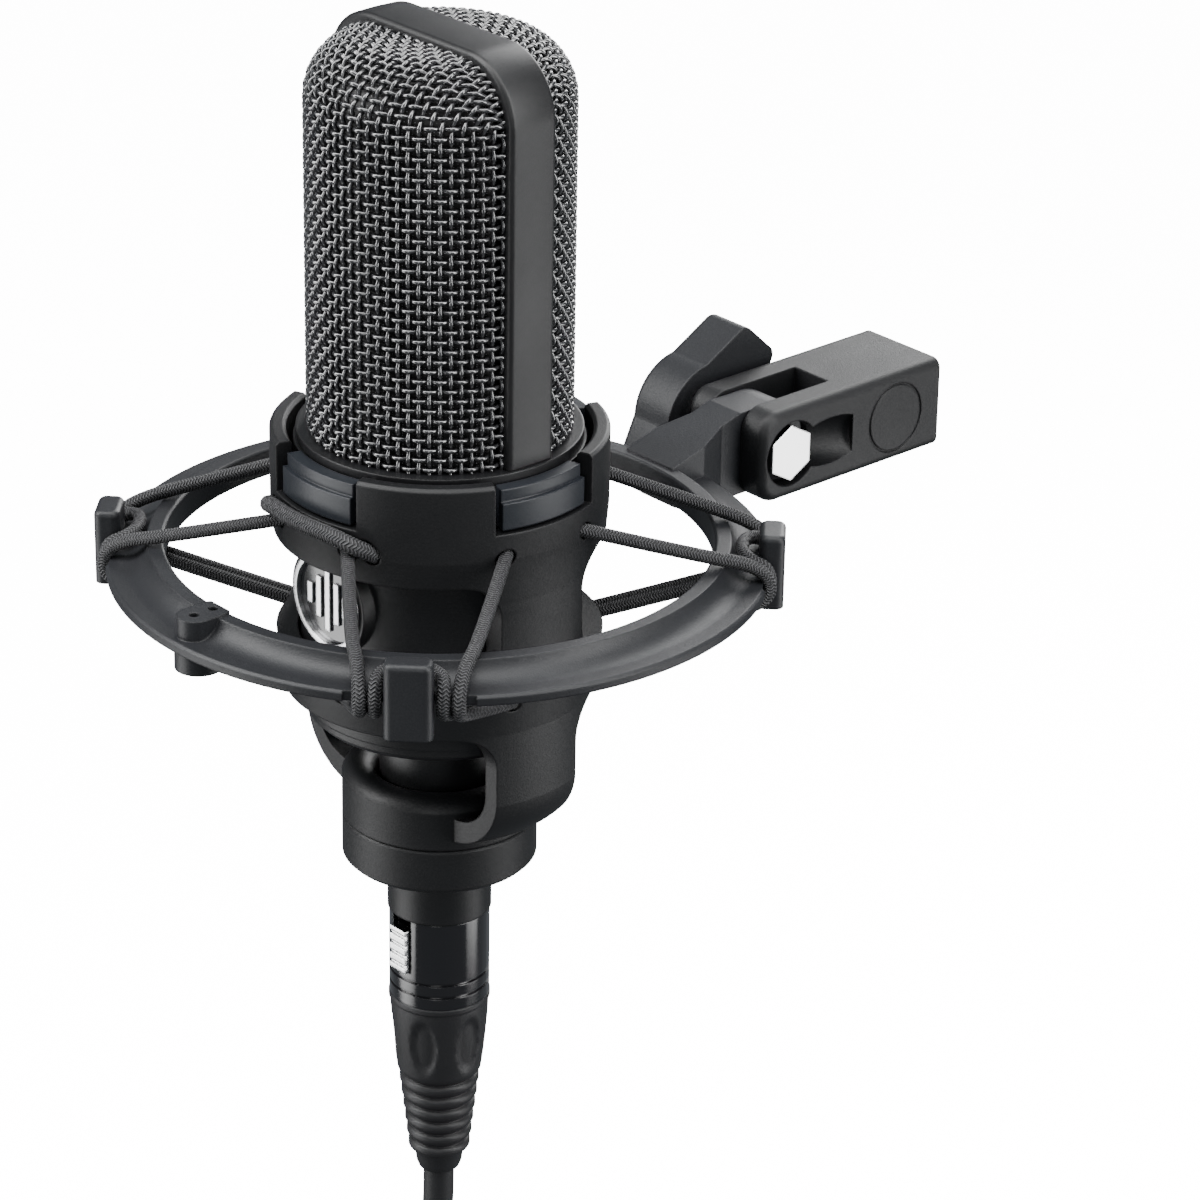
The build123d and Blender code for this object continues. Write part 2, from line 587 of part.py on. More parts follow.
def outer_ring():
    """The flanged ring with its notches, boss and swivel tongue, and its four pegs."""
    cove = ThreePointArc(
        (RING_FLANGE_R, 0, RING_TOP_Z),
        ((RING_FLANGE_R + RING_LIP_R) / 2 - 0.7, 0, (RING_TOP_Z + RING_LIP_Z) / 2 - 0.6),
        (RING_LIP_R, 0, RING_LIP_Z),
    )
    rest = Polyline(
        (RING_LIP_R, 0, RING_LIP_Z),
        (RING_OUT_R - 0.5, 0, RING_LIP_Z),
        (RING_OUT_R, 0, RING_LIP_Z - 0.5),
        (RING_OUT_R, 0, RING_LOW_Z),
        (RING_IN_R, 0, RING_LOW_Z),
        (RING_IN_R, 0, RING_TOP_Z - 0.4),
        (RING_IN_R + 0.4, 0, RING_TOP_Z),
        (RING_FLANGE_R, 0, RING_TOP_Z),
    )
    ring = revolve(make_face(cove + rest), Z_AXIS, 360)
    pegs = []
    for peg_deg in PEG_DEGS:
        notch = block((NOTCH_R, -NOTCH_HALF, RING_LOW_Z - 1), (RING_OUT_R + 5, NOTCH_HALF, RING_TOP_Z))
        ring -= Rot(0, 0, peg_deg) * notch
        ring -= peg_solid(peg_deg, SEAT_GAP)
        pegs.append(peg_solid(peg_deg))
    keep("ring_pegs", Compound(children=pegs))

    boss_y = -(RING_IN_R + 3.9)
    boss_outline = Rot(0, 0, 90) * SlotOverall(BOSS_L, BOSS_W)
    boss = Pos(0, boss_y, RING_LOW_Z) * extrude(boss_outline, BOSS_TOP_Z - RING_LOW_Z)
    ring += boss & block((-BOSS_L, -RING_OUT_R, -9), (BOSS_L, -RING_IN_R - 0.1, 9))
    ring += rod_z(BOSS_FOOT_R, RING_LOW_Z - 4.5, RING_LOW_Z, 0, boss_y - 1.2)
    for y in (boss_y + 2.1, boss_y - 2.1):
        ring -= rod_z(BOSS_HOLE_R, RING_LOW_Z - 6, RING_TOP_Z + 3, 0, y)

    half_t, half_h = TONGUE_T / 2, TONGUE_H / 2
    side = Polyline(
        (RING_IN_R + 1.5, -half_h * 0.55),
        (RING_OUT_R - 3.0, -half_h),
        (HINGE_Y, -half_h),
        (HINGE_Y, half_h),
        (HINGE_Y - 8.0, half_h),
        (RING_IN_R + 1.5, RING_TOP_Z + 0.4),
        close=True,
    )
    web = Pos(-GUSSET_W / 2, 0, 0) * extrude(Plane.YZ * make_face(side), GUSSET_W)
    plan = Polyline(
        (-GUSSET_W / 2, RING_IN_R),
        (GUSSET_W / 2, RING_IN_R),
        (GUSSET_W / 2, RING_OUT_R - 1.0),
        (half_t, RING_OUT_R + 5.5),
        (half_t, HINGE_Y),
        (-half_t, HINGE_Y),
        (-half_t, RING_OUT_R + 5.5),
        (-GUSSET_W / 2, RING_OUT_R - 1.0),
        close=True,
    )
    arm = web & Pos(0, 0, -half_h - 1) * extrude(make_face(plan), TONGUE_H + 2)
    arm += rod_x(half_h, -half_t, half_t, HINGE_Y, 0)
    arm -= rod_x(BOLT_R + BOLT_CLEAR, -20, 20, HINGE_Y, 0)
    keep("outer_ring", ring + arm)

    for index, peg_deg in enumerate(PEG_DEGS, start=1):
        strands = []
        for route in cord_routes(peg_deg):
            solid, radii, length = cord(route, CORD_R, smallest=1.0)
            print("elastic", index, "radii", [round(r, 1) for r in radii], "length", round(length, 1))
            strands.append(solid)
        keep(f"elastic_{index}", Compound(children=strands))
    solid, radii, length = cord(bridge_route(), BRIDGE_R, smallest=1.0)
    print("bridge radii", [round(r, 1) for r in radii], "length", round(length, 1))
    keep("bridge_cord", solid)


# ---------------------------------------------------------------- the swivel
def swivel():
    """The forked swivel with its thread, the hinge bolt, the wing knob and its nut."""
    half_w, half_h = CLEVIS_W / 2, CLEVIS_H / 2
    nose_y = HINGE_Y - NOSE_REACH
    fork = block((-half_w, nose_y, -half_h), (half_w, CLEVIS_END_Y, half_h))
    fork = fillet(fork.edges().filter_by(X_AXIS).group_by(Axis.Y)[0], NOSE_CORNER_R)
    fork = fillet(fork.edges().filter_by(Axis.Y), 2.0)
    slot_half = TONGUE_T / 2 + EAR_GAP
    fork -= block((-slot_half, nose_y - 20, -half_h - 1), (slot_half, SLOT_END_Y, half_h + 1))
    fork -= rod_x(BOLT_R + BOLT_CLEAR, -half_w - 1, half_w + 1, HINGE_Y, 0)
    scoop_x = half_w - BOLT_HEAD_H
    scoop_r = BOLT_AF / 2 / cos(pi / 6) + 0.9
    fork -= rod_x(scoop_r, scoop_x, half_w + 1, HINGE_Y, 0)
    slope_start = (scoop_x, HINGE_Y + scoop_r * 0.5, 0)
    slope_end = (half_w + 0.6, HINGE_Y + 11.5, 0)
    slope_dir = Vector(*slope_end) - Vector(*slope_start)
    slope = Plane(origin=slope_start, z_dir=slope_dir) * Circle(scoop_r * 0.72)
    fork -= extrude(slope, slope_dir.length * 1.4)
    mark = rod_x(RING_MARK_R, half_w - 0.3, half_w + 1, RING_MARK_Y, 0)
    mark -= rod_x(RING_MARK_R - 0.45, half_w - 1, half_w + 2, RING_MARK_Y, 0)
    fork -= mark
    fork -= rod_y(SOCKET_R, CLEVIS_END_Y - SOCKET_L, CLEVIS_END_Y + 1)
    keep("swivel_fork", fork)

    head_low = scoop_x + SEAT_GAP
    hexagon = RegularPolygon(BOLT_AF / 2, 6, major_radius=False)
    head_plane = Plane(origin=(head_low, HINGE_Y, 0), z_dir=(1, 0, 0))
    bolt = extrude(head_plane * hexagon, BOLT_HEAD_H - 0.3)
    bolt += rod_x(BOLT_R, -half_w - KNOB_T + 1.0, head_low + 0.5, HINGE_Y, 0)
    keep("hinge_bolt", bolt)

    washer = rod_x(BOLT_R + 3.2, -half_w - 1.1, -half_w - SEAT_GAP, HINGE_Y, 0)
    washer -= rod_x(BOLT_R + BOLT_CLEAR, -half_w - 3, -half_w + 1, HINGE_Y, 0)
    keep("hinge_washer", washer)

    knob_high = -half_w - 1.1 - FREE_GAP
    knob_low = knob_high - KNOB_T
    nut_low = knob_high - 7.0
    nut = rod_x(5.0, nut_low, knob_high, HINGE_Y, 0)
    nut -= rod_x(BOLT_R + BOLT_CLEAR, nut_low - 1, knob_high + 1, HINGE_Y, 0)
    keep("knob_nut", nut)
    knob = rod_x(KNOB_R, knob_low, knob_high, 0, 0)
    half_wing = WING_W / 2
    paddle = Polyline(
        (-WING_REACH, -half_wing),
        (0, -KNOB_R + 0.3),
        (WING_REACH, -half_wing),
        (WING_REACH, half_wing),
        (0, KNOB_R - 0.3),
        (-WING_REACH, half_wing),
        close=True,
    )
    wing = Pos(knob_low, 0, 0) * extrude(Plane.YZ * make_face(paddle), KNOB_T)
    knob = fillet((knob + wing).edges().filter_by(X_AXIS), 2.2)
    knob = fillet(knob.edges().group_by(X_AXIS)[0], 1.5)
    knob = Pos(0, HINGE_Y, 0) * Rot(WING_DEG, 0, 0) * knob
    knob -= rod_x(5.0 + SEAT_GAP, nut_low - SEAT_GAP, knob_high + 1, HINGE_Y, 0)
    knob -= rod_x(BOLT_R + 0.4, knob_low + 1.2, knob_high, HINGE_Y, 0)
    keep("wing_knob", knob)


# ---------------------------------------------------------------- plug, cable and far connector
LATCH_HALF_W = 2.3
LATCH_HIGH_Z = PLUG_TOP_Z - 2.0
LATCH_LOW_Z = PLUG_TOP_Z - 11.0


def plug():
    """The cable's three-hole plug in the microphone's base."""
    shell = tube(PLUG_R, NOSE_R + 0.6, PLUG_LOW_Z, PLUG_TOP_Z)
    for z in (PLUG_GROOVE_Z, PLUG_GROOVE_Z - 2.7):
        shell -= tube(PLUG_R + 1, PLUG_R - 0.4, z - 0.3, z + 0.3)
    slot_half = LATCH_HALF_W + FREE_GAP
    slot_low = (-slot_half, -PLUG_R - 1, LATCH_LOW_Z - FREE_GAP)
    shell -= block(slot_low, (slot_half, -4, PLUG_TOP_Z + 1))
    keep("plug_shell", shell)

    nose_top = PLUG_TOP_Z + NOSE_H
    insert = tube(NOSE_R + 0.55, 0, PLUG_LOW_Z, PLUG_TOP_Z)
    insert += rod_z(NOSE_R, PLUG_TOP_Z - 1, nose_top)
    insert -= block(slot_low, (slot_half, -NOSE_R + 2.6, nose_top + 1))
    contacts = []
    for angle in (210.0, 330.0, 90.0):
        x, y, _ = polar(4.4, angle, 0)
        insert -= rod_z(1.9, PLUG_LOW_Z - 1, nose_top + 1, x, y)
        socket = rod_z(1.85, PLUG_TOP_Z - 8.0, nose_top - 0.6, x, y)
        socket -= rod_z(1.3, PLUG_TOP_Z - 4.0, nose_top + 1, x, y)
        contacts.append(socket)
    keep("plug_insert", insert)
    keep("plug_contacts", Compound(children=contacts))

    latch = block((-LATCH_HALF_W, -PLUG_R - 0.9, LATCH_LOW_Z), (LATCH_HALF_W, -PLUG_R + 1.3, LATCH_HIGH_Z))
    over = LATCH_HALF_W + 1
    for index in range(4):
        z = LATCH_LOW_Z + 1.4 + index * 2.1
        latch -= block((-over, -PLUG_R - 1.5, z - 0.35), (over, -PLUG_R - 0.4, z + 0.35))
    keep("plug_latch", latch)

    boot = turned(
        (CABLE_R + SEAT_GAP, PLUG_LOW_Z - SEAT_GAP),
        (PLUG_R + 0.2, PLUG_LOW_Z - SEAT_GAP),
        (PLUG_R + 0.2, PLUG_LOW_Z - 1.2),
        (PLUG_R - 0.6, PLUG_LOW_Z - 6.0),
        (PLUG_R - 1.3, PLUG_LOW_Z - 16.0),
        (PLUG_R - 2.0, PLUG_LOW_Z - 18.0),
        (PLUG_R - 3.4, BOOT_LOW_Z + 6.0),
        (CABLE_R + 1.6, BOOT_LOW_Z + 1.0),
        (CABLE_R + 0.9, BOOT_LOW_Z),
        (CABLE_R + SEAT_GAP, BOOT_LOW_Z),
    )
    boot_rib_r = PLUG_R - 1.6
    for index in range(7):
        z = PLUG_LOW_Z - 19.5 - index * 2.5
        depth = boot_rib_r - 0.26 * (index + 1)
        boot -= tube(PLUG_R + 2, depth - 0.55, z - 0.55, z + 0.55)
    keep("plug_boot", boot)


def coil_size():
    """Outer, inner radius and half width of the wound cable."""
    half_depth = COIL_ROWS * CABLE_R
    return COIL_MID_R + half_depth, COIL_MID_R - half_depth, COIL_LAYERS * CABLE_R


COIL_CENTRE_Z = COIL_TOP_Z - COIL_MID_R - COIL_ROWS * CABLE_R

LEAD_STATIONS = [
    (0.0, 0.0, BOOT_LOW_Z + 4.0),
    (0.0, 0.0, -152.0),
    (-7.0, 0.0, -174.0),
    (-9.0, 0.0, -197.0),
    (0.0, 0.0, -213.5),
    (15.0, 0.0, -219.0),
]


def cable():
    """The cable's free lead, its tied coil and the connector at its far end."""
    outer_r, inner_r, half_w = coil_size()
    upright = Pos(COIL_X, 0, COIL_CENTRE_Z) * Rot(90, 0, 0)
    ring = upright * (Cylinder(outer_r, half_w * 2) - Cylinder(inner_r, half_w * 3))
    lead, radii, length = cord(LEAD_STATIONS, CABLE_R)
    print("lead radii", [round(r, 1) for r in radii], "length", round(length, 1))
    print("lead volume", round(lead.volume, 1), "section x length", round(pi * CABLE_R ** 2 * length, 1))
    lead -= ring
    lead = max(lead.solids(), key=lambda s: s.volume)
    keep("cable_lead", lead)
    tie_low = (COIL_X + TIE_NEAR, -half_w - 2, COIL_CENTRE_Z + inner_r - 3)
    tie_high = (COIL_X + TIE_FAR, half_w + 2, COIL_TOP_Z + 2)
    wrap = Cylinder(outer_r + TIE_T, half_w * 2 + TIE_T * 2) - Cylinder(inner_r - TIE_T, half_w * 4)
    kept = Cylinder(outer_r + SEAT_GAP, half_w * 2 + 2 * SEAT_GAP)
    wrap -= kept - Cylinder(inner_r - SEAT_GAP, half_w * 3)
    keep("coil_tie", upright * wrap & block(tie_low, tie_high))
    keep("cable_coil", ring)


def far_connector():
    """The male connector at the cable's far end, hanging below the coil."""
    outer_r, inner_r, half_w = coil_size()
    x = COIL_X + outer_r - CABLE_R
    top_z = COIL_CENTRE_Z - 46.0
    tail = rod_z(CABLE_R, top_z, COIL_CENTRE_Z, x, 0)
    ring = Pos(COIL_X, 0, COIL_CENTRE_Z) * Rot(90, 0, 0) * (
        Cylinder(outer_r, half_w * 2) - Cylinder(inner_r, half_w * 3)
    )
    tail -= ring
    tail = min(tail.solids(), key=lambda s: s.center().Z)
    keep("cable_tail", tail)

    def at(shape):
        return Pos(x, 0, top_z) * shape

    boot = turned(
        (CABLE_R + SEAT_GAP, 8.0),
        (CABLE_R + 0.9, 8.0),
        (PLUG_R - 3.0, 0.0),
        (PLUG_R - 0.4, -12.0),
        (PLUG_R + 0.2, -17.0),
        (CABLE_R + SEAT_GAP, -17.0),
    )
    boot -= rod_z(CABLE_R + SEAT_GAP, -20, 10)
    keep("far_boot", at(boot))
    keep("far_shell", at(tube(PLUG_R, XLR_BORE_R, -46.0, -17.0 - SEAT_GAP)))
    insert = rod_z(XLR_BORE_R - SEAT_GAP, -33.0, -18.0)
    pins = []
    for angle in (210.0, 330.0, 90.0):
        px, py, _ = polar(4.4, angle, 0)
        insert -= rod_z(1.25, -34.0, -20.0, px, py)
        pins.append(rod_z(1.2, -43.5, -20.1, px, py))
    keep("far_insert", at(insert))
    keep("far_pins", at(Compound(children=pins)))


# ---------------------------------------------------------------- export
def main():
    head()
    capsule()
    body()
    base()
    cradle()
    outer_ring()
    swivel()
    plug()
    cable()
    far_connector()
    os.makedirs("parts", exist_ok=True)
    for name, shape in PIECES.items():
        moved = Pos(0, -CLEVIS_END_Y, 0) * shape
        export_step(moved, f"parts/{name}.step")
    print(len(PIECES), "pieces")


main()
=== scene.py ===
"""Looks of a side-address condenser microphone in its elastic shock mount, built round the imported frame."""

import math

import bpy
import numpy as np
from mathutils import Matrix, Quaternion, Vector


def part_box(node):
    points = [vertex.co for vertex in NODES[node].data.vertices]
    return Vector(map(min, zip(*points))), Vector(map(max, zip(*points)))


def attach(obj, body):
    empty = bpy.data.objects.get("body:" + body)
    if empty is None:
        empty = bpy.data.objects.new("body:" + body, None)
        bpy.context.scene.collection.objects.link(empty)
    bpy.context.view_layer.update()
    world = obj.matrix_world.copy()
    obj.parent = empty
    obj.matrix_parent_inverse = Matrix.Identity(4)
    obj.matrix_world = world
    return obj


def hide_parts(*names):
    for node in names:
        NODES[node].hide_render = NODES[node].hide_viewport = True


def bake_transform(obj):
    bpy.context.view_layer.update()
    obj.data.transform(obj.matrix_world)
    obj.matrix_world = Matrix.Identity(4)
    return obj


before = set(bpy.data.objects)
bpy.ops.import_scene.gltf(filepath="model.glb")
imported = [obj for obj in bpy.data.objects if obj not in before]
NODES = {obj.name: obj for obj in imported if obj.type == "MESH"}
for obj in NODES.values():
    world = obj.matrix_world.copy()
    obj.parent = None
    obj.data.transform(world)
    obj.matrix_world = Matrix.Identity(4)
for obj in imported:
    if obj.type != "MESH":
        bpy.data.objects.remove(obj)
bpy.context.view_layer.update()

bl_info = {
    "name": "Condenser microphone builder",
    "version": (1, 0, 0),
    "blender": (4, 5, 0),
    "location": "View3D > Sidebar > Microphone",
    "description": "Builds the wire head, elastics, cable, finishes and stage of a condenser microphone",
    "category": "Object",
}

MM = 0.001


def box_mm(node):
    """A node's two corners in millimetres."""
    low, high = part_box(node)
    return np.array(low) / MM, np.array(high) / MM


LOCK_LOW, LOCK_HIGH = box_mm("lock_ring")
AXIS_Y = (LOCK_LOW[1] + LOCK_HIGH[1]) / 2
GRILLE_LOW, GRILLE_HIGH = box_mm("grille_front")
BAND_LOW, BAND_HIGH = box_mm("grille_band")
BOOT_LOW, BOOT_HIGH = box_mm("plug_boot")
COIL_LOW, COIL_HIGH = box_mm("cable_coil")
FAR_BOOT_LOW, FAR_BOOT_HIGH = box_mm("far_boot")


# ---------------------------------------------------------------- sizes and colours
class HeadSettings(bpy.types.PropertyGroup):
    wire_diameter: bpy.props.FloatProperty(
        name="Wire", description="Diameter of the woven wire in millimetres", default=0.8, min=0.2, max=1.5
    )
    wire_pitch: bpy.props.FloatProperty(
        name="Pitch", description="Distance between wires in millimetres", default=1.87, min=0.8, max=4.0
    )
    edge_radius: bpy.props.FloatProperty(
        name="Edge radius",
        description="Rounding of the head's top edge in millimetres",
        default=11.5, min=2, max=20,
    )
    band_chamfer: bpy.props.FloatProperty(
        name="Hoop chamfer",
        description="Chamfer along the hoop's edges in millimetres",
        default=0.9, min=0.1, max=2,
    )
    band_wall: bpy.props.FloatProperty(
        name="Hoop wall", description="Thickness of the hoop in millimetres", default=2.2, min=0.5, max=4
    )
    band_corner: bpy.props.FloatProperty(
        name="Hoop corner",
        description="Outer corner radius of the hoop in millimetres",
        default=12.0, min=4, max=20,
    )


class CordSettings(bpy.types.PropertyGroup):
    elastic_radius: bpy.props.FloatProperty(
        name="Elastic",
        description="Radius of the braided elastic in millimetres",
        default=1.3, min=0.5, max=3,
    )
    bridge_radius: bpy.props.FloatProperty(
        name="Front cord",
        description="Radius of the heavier front cord in millimetres",
        default=1.6, min=0.5, max=3,
    )
    cable_diameter: bpy.props.FloatProperty(
        name="Cable", description="Diameter of the cable in millimetres", default=6.0, min=3, max=9
    )
    cable_length: bpy.props.FloatProperty(
        name="Length", description="Length of the cable", default=2.4, min=1, max=10, unit="LENGTH"
    )


class FinishSettings(bpy.types.PropertyGroup):
    body_colour: bpy.props.FloatVectorProperty(
        name="Body",
        description="Powder coat of the microphone",
        subtype="COLOR", default=(0.0055, 0.0056, 0.0062),
    )
    cradle_colour: bpy.props.FloatVectorProperty(
        name="Cradle", description="Moulding of the cradle", subtype="COLOR", default=(0.0032, 0.0034, 0.0040)
    )
    ring_colour: bpy.props.FloatVectorProperty(
        name="Ring",
        description="Moulding of the outer ring",
        subtype="COLOR", default=(0.0090, 0.0096, 0.0112),
    )
    pad_colour: bpy.props.FloatVectorProperty(
        name="Pads",
        description="Rubber of the cradle's pads",
        subtype="COLOR", default=(0.0105, 0.0125, 0.016),
    )
    fleck_colour: bpy.props.FloatVectorProperty(
        name="Braid fleck",
        description="Light yarn in the elastic",
        subtype="COLOR", default=(0.085, 0.085, 0.09),
    )


# ---------------------------------------------------------------- materials
def new_group(name, inputs, outputs):
    """An empty shader node group with named value inputs and typed outputs."""
    group = bpy.data.node_groups.new(name, "ShaderNodeTree")
    for label, default in inputs:
        socket = group.interface.new_socket(label, in_out="INPUT", socket_type="NodeSocketFloat")
        socket.default_value = default
    for label, kind in outputs:
        group.interface.new_socket(label, in_out="OUTPUT", socket_type=kind)
    return group


def grain_group():
    """Fine moulded or sprayed grain, and a broad slow variation, in the piece's own space."""
    group = bpy.data.node_groups.get("fine_grain")
    if group:
        return group
    group = new_group(
        "fine_grain",
        [("Grain Scale", 2500.0), ("Grain Depth", 0.3), ("Broad Scale", 60.0), ("Edge Radius", 0.00045)],
        [("Normal", "NodeSocketVector"), ("Grain", "NodeSocketFloat"), ("Broad", "NodeSocketFloat")],
    )
    nodes, links = group.nodes, group.links
    into, out = nodes.new("NodeGroupInput"), nodes.new("NodeGroupOutput")
    place = nodes.new("ShaderNodeTexCoord")
    fine, broad = nodes.new("ShaderNodeTexNoise"), nodes.new("ShaderNodeTexNoise")
    fine.inputs["Detail"].default_value = 3.0
    broad.inputs["Detail"].default_value = 4.0
    edge = nodes.new("ShaderNodeBevel")
    edge.samples = 6
    links.new(into.outputs["Edge Radius"], edge.inputs["Radius"])
    bump = nodes.new("ShaderNodeBump")
    bump.inputs["Distance"].default_value = 0.00012
    links.new(edge.outputs["Normal"], bump.inputs["Normal"])
    for noise, label in ((fine, "Grain Scale"), (broad, "Broad Scale")):
        links.new(place.outputs["Object"], noise.inputs["Vector"])
        links.new(into.outputs[label], noise.inputs["Scale"])
    links.new(into.outputs["Grain Depth"], bump.inputs["Strength"])
    links.new(fine.outputs["Fac"], bump.inputs["Height"])
    links.new(bump.outputs["Normal"], out.inputs["Normal"])
    links.new(fine.outputs["Fac"], out.inputs["Grain"])
    links.new(broad.outputs["Fac"], out.inputs["Broad"])
    return group


def new_material(name):
    """A node material, with its nodes, its links and its Principled shader."""
    material = bpy.data.materials.new(name)
    material.use_nodes = True
    nodes, links = material.node_tree.nodes, material.node_tree.links
    return material, nodes, links, nodes["Principled BSDF"]


def tint_base(nodes, links, shader, factor, first, second):
    """Base colour that runs from the first colour to the second with a factor socket."""
    tint = nodes.new("ShaderNodeMix")
    tint.data_type = "RGBA"
    tint.inputs["A"].default_value = (*first, 1)
    tint.inputs["B"].default_value = (*second, 1)
    links.new(factor, tint.inputs["Factor"])
    links.new(tint.outputs["Result"], shader.inputs["Base Color"])


def finish(
    name, colour, roughness, metallic=0.0, grain=2500.0, depth=0.3, coat=0.0, spread=0.08, specular=0.35,
    edge=0.00045,
):
    """A grained surface whose colour and roughness drift slowly over the piece."""
    if name in bpy.data.materials:
        return bpy.data.materials[name]
    material, nodes, links, shader = new_material(name)
    surface = nodes.new("ShaderNodeGroup")
    surface.node_tree = grain_group()
    surface.inputs["Grain Scale"].default_value = grain
    surface.inputs["Grain Depth"].default_value = depth
    surface.inputs["Edge Radius"].default_value = edge
    darker, lighter = [c * 0.82 for c in colour], [min(1.0, c * 1.2) for c in colour]
    tint_base(nodes, links, shader, surface.outputs["Broad"], darker, lighter)
    rough = nodes.new("ShaderNodeMapRange")
    rough.inputs["To Min"].default_value = max(0.02, roughness - spread)
    rough.inputs["To Max"].default_value = min(1.0, roughness + spread)
    links.new(surface.outputs["Broad"], rough.inputs["Value"])
    links.new(rough.outputs["Result"], shader.inputs["Roughness"])
    links.new(surface.outputs["Normal"], shader.inputs["Normal"])
    shader.inputs["Metallic"].default_value = metallic
    shader.inputs["Specular IOR Level"].default_value = specular
    if coat:
        shader.inputs["Coat Weight"].default_value = coat
    shader.inputs["Coat Roughness"].default_value = 0.12
    return material


def braid_material(name, dark, light):
    """Yarn colours of a braided cord, from the cord's own UV map: u round it, v along it."""
    if name in bpy.data.materials:
        return bpy.data.materials[name]
    material, nodes, links, shader = new_material(name)
    place = nodes.new("ShaderNodeUVMap")
    place.uv_map = "braid"
    apart = nodes.new("ShaderNodeSeparateXYZ")
    links.new(place.outputs["UV"], apart.inputs["Vector"])

    def maths(kind, first, second=None, value=None):
        node = nodes.new("ShaderNodeMath")
        node.operation = kind
        links.new(first, node.inputs[0])
        if second is not None:
            links.new(second, node.inputs[1])
        elif value is not None:
            node.inputs[1].default_value = value
        return node.outputs[0]

    fold = maths("PINGPONG", apart.outputs["X"], value=0.5)
    slant = maths("ADD", maths("MULTIPLY", apart.outputs["Y"], value=2.6), maths("MULTIPLY", fold, value=1.6))
    weave = maths("SINE", maths("MULTIPLY", slant, value=2 * math.pi))
    fleck = nodes.new("ShaderNodeMapRange")
    fleck.inputs["From Min"].default_value = 0.1
    fleck.inputs["From Max"].default_value = 1.3
    links.new(weave, fleck.inputs["Value"])
    tint_base(nodes, links, shader, fleck.outputs["Result"], dark, light)
    surface = nodes.new("ShaderNodeGroup")
    surface.node_tree = grain_group()
    surface.inputs["Grain Scale"].default_value = 9000.0
    surface.inputs["Grain Depth"].default_value = 0.5
    ribs = nodes.new("ShaderNodeBump")
    ribs.inputs["Distance"].default_value = 0.00018
    ribs.inputs["Strength"].default_value = 0.9
    links.new(weave, ribs.inputs["Height"])
    links.new(surface.outputs["Normal"], ribs.inputs["Normal"])
    links.new(ribs.outputs["Normal"], shader.inputs["Normal"])
    shader.inputs["Roughness"].default_value = 0.6
    return material


def screen_material():
    """The fine inner screen: small bright dots painted into its base colour as glints of light off the wire
    (painted highlights), on near black, in the piece's own space.
    """
    name = "fine screen wire"
    if name in bpy.data.materials:
        return bpy.data.materials[name]
    material, nodes, links, shader = new_material(name)
    place = nodes.new("ShaderNodeTexCoord")
    cells = nodes.new("ShaderNodeTexVoronoi")
    cells.inputs["Scale"].default_value = 1900.0
    cells.inputs["Randomness"].default_value = 0.25
    # painted highlight: bright dots at the cell centres lift the near-black base colour to grey, as glints of
    # light off the wire
    painted_glint = nodes.new("ShaderNodeMapRange")
    painted_glint.inputs["From Min"].default_value = 0.30
    painted_glint.inputs["From Max"].default_value = 0.12
    links.new(place.outputs["Object"], cells.inputs["Vector"])
    links.new(cells.outputs["Distance"], painted_glint.inputs["Value"])
    tint_base(nodes, links, shader, painted_glint.outputs["Result"], (0.004, 0.004, 0.004), (0.10, 0.10, 0.105))
    shader.inputs["Roughness"].default_value = 0.45
    shader.inputs["Metallic"].default_value = 0.4
    return material


def paint(obj, material):
    """Gives an object one material, in place of whatever it has."""
    obj.data.materials.clear()
    obj.data.materials.append(material)


# ---------------------------------------------------------------- mesh helpers
def deselect():
    """Leaves edit mode and selects nothing."""
    if bpy.context.object and bpy.context.object.mode != "OBJECT":
        bpy.ops.object.mode_set(mode="OBJECT")
    bpy.ops.object.select_all(action="DESELECT")


def select_only(obj):
    """Selects one object and makes it the active one."""
    deselect()
    obj.select_set(True)
    bpy.context.view_layer.objects.active = obj


def mesh_piece(name, points, faces):
    """A mesh object from points in millimetres."""
    mesh = bpy.data.meshes.new(name)
    mesh.from_pydata((np.asarray(points) * MM).tolist(), [], faces)
    mesh.validate()
    mesh.update()
    obj = bpy.data.objects.new(name, mesh)
    bpy.context.scene.collection.objects.link(obj)
    return obj


def smooth(obj, angle_deg=40.0):
    """Smooth shading, kept sharp over the angle."""
    select_only(obj)
    bpy.ops.object.shade_smooth_by_angle(angle=math.radians(angle_deg))
    obj.select_set(False)


def tubes(name, lines, normals, radius, sides):
    """Round wires along lines of points; normals are unit vectors off the surface that they lie on."""
    points, faces = [], []
    turn = np.arange(sides) * 2 * math.pi / sides
    for line, up in zip(lines, normals):
        along = np.gradient(line, axis=0)
        along /= np.linalg.norm(along, axis=1, keepdims=True)
        up = up - along * np.sum(up * along, axis=1, keepdims=True)
        up /= np.linalg.norm(up, axis=1, keepdims=True)
        side = np.cross(along, up)
        ring = (
            line[:, None, :]
            + radius * np.cos(turn)[None, :, None] * up[:, None, :]
            + radius * np.sin(turn)[None, :, None] * side[:, None, :]
        )
        start = len(points)
        points.extend(ring.reshape(-1, 3).tolist())
        for i in range(len(line) - 1):
            a, b = start + i * sides, start + (i + 1) * sides
            for k in range(sides):
                n = (k + 1) % sides
                faces.append((a + k, b + k, b + n, a + n))
        faces.append(tuple(range(start, start + sides)))
        last = start + (len(line) - 1) * sides
        faces.append(tuple(reversed(range(last, last + sides))))
    obj = mesh_piece(name, points, faces)
    outward(obj)
    obj.data.polygons.foreach_set("use_smooth", [True] * len(obj.data.polygons))
    return obj


def outward(obj):
    """Turns every face of a closed mesh outwards."""
    select_only(obj)
    bpy.ops.object.mode_set(mode="EDIT")
    bpy.ops.mesh.select_all(action="SELECT")
    bpy.ops.mesh.normals_make_consistent(inside=False)
    bpy.ops.object.mode_set(mode="OBJECT")
    obj.select_set(False)


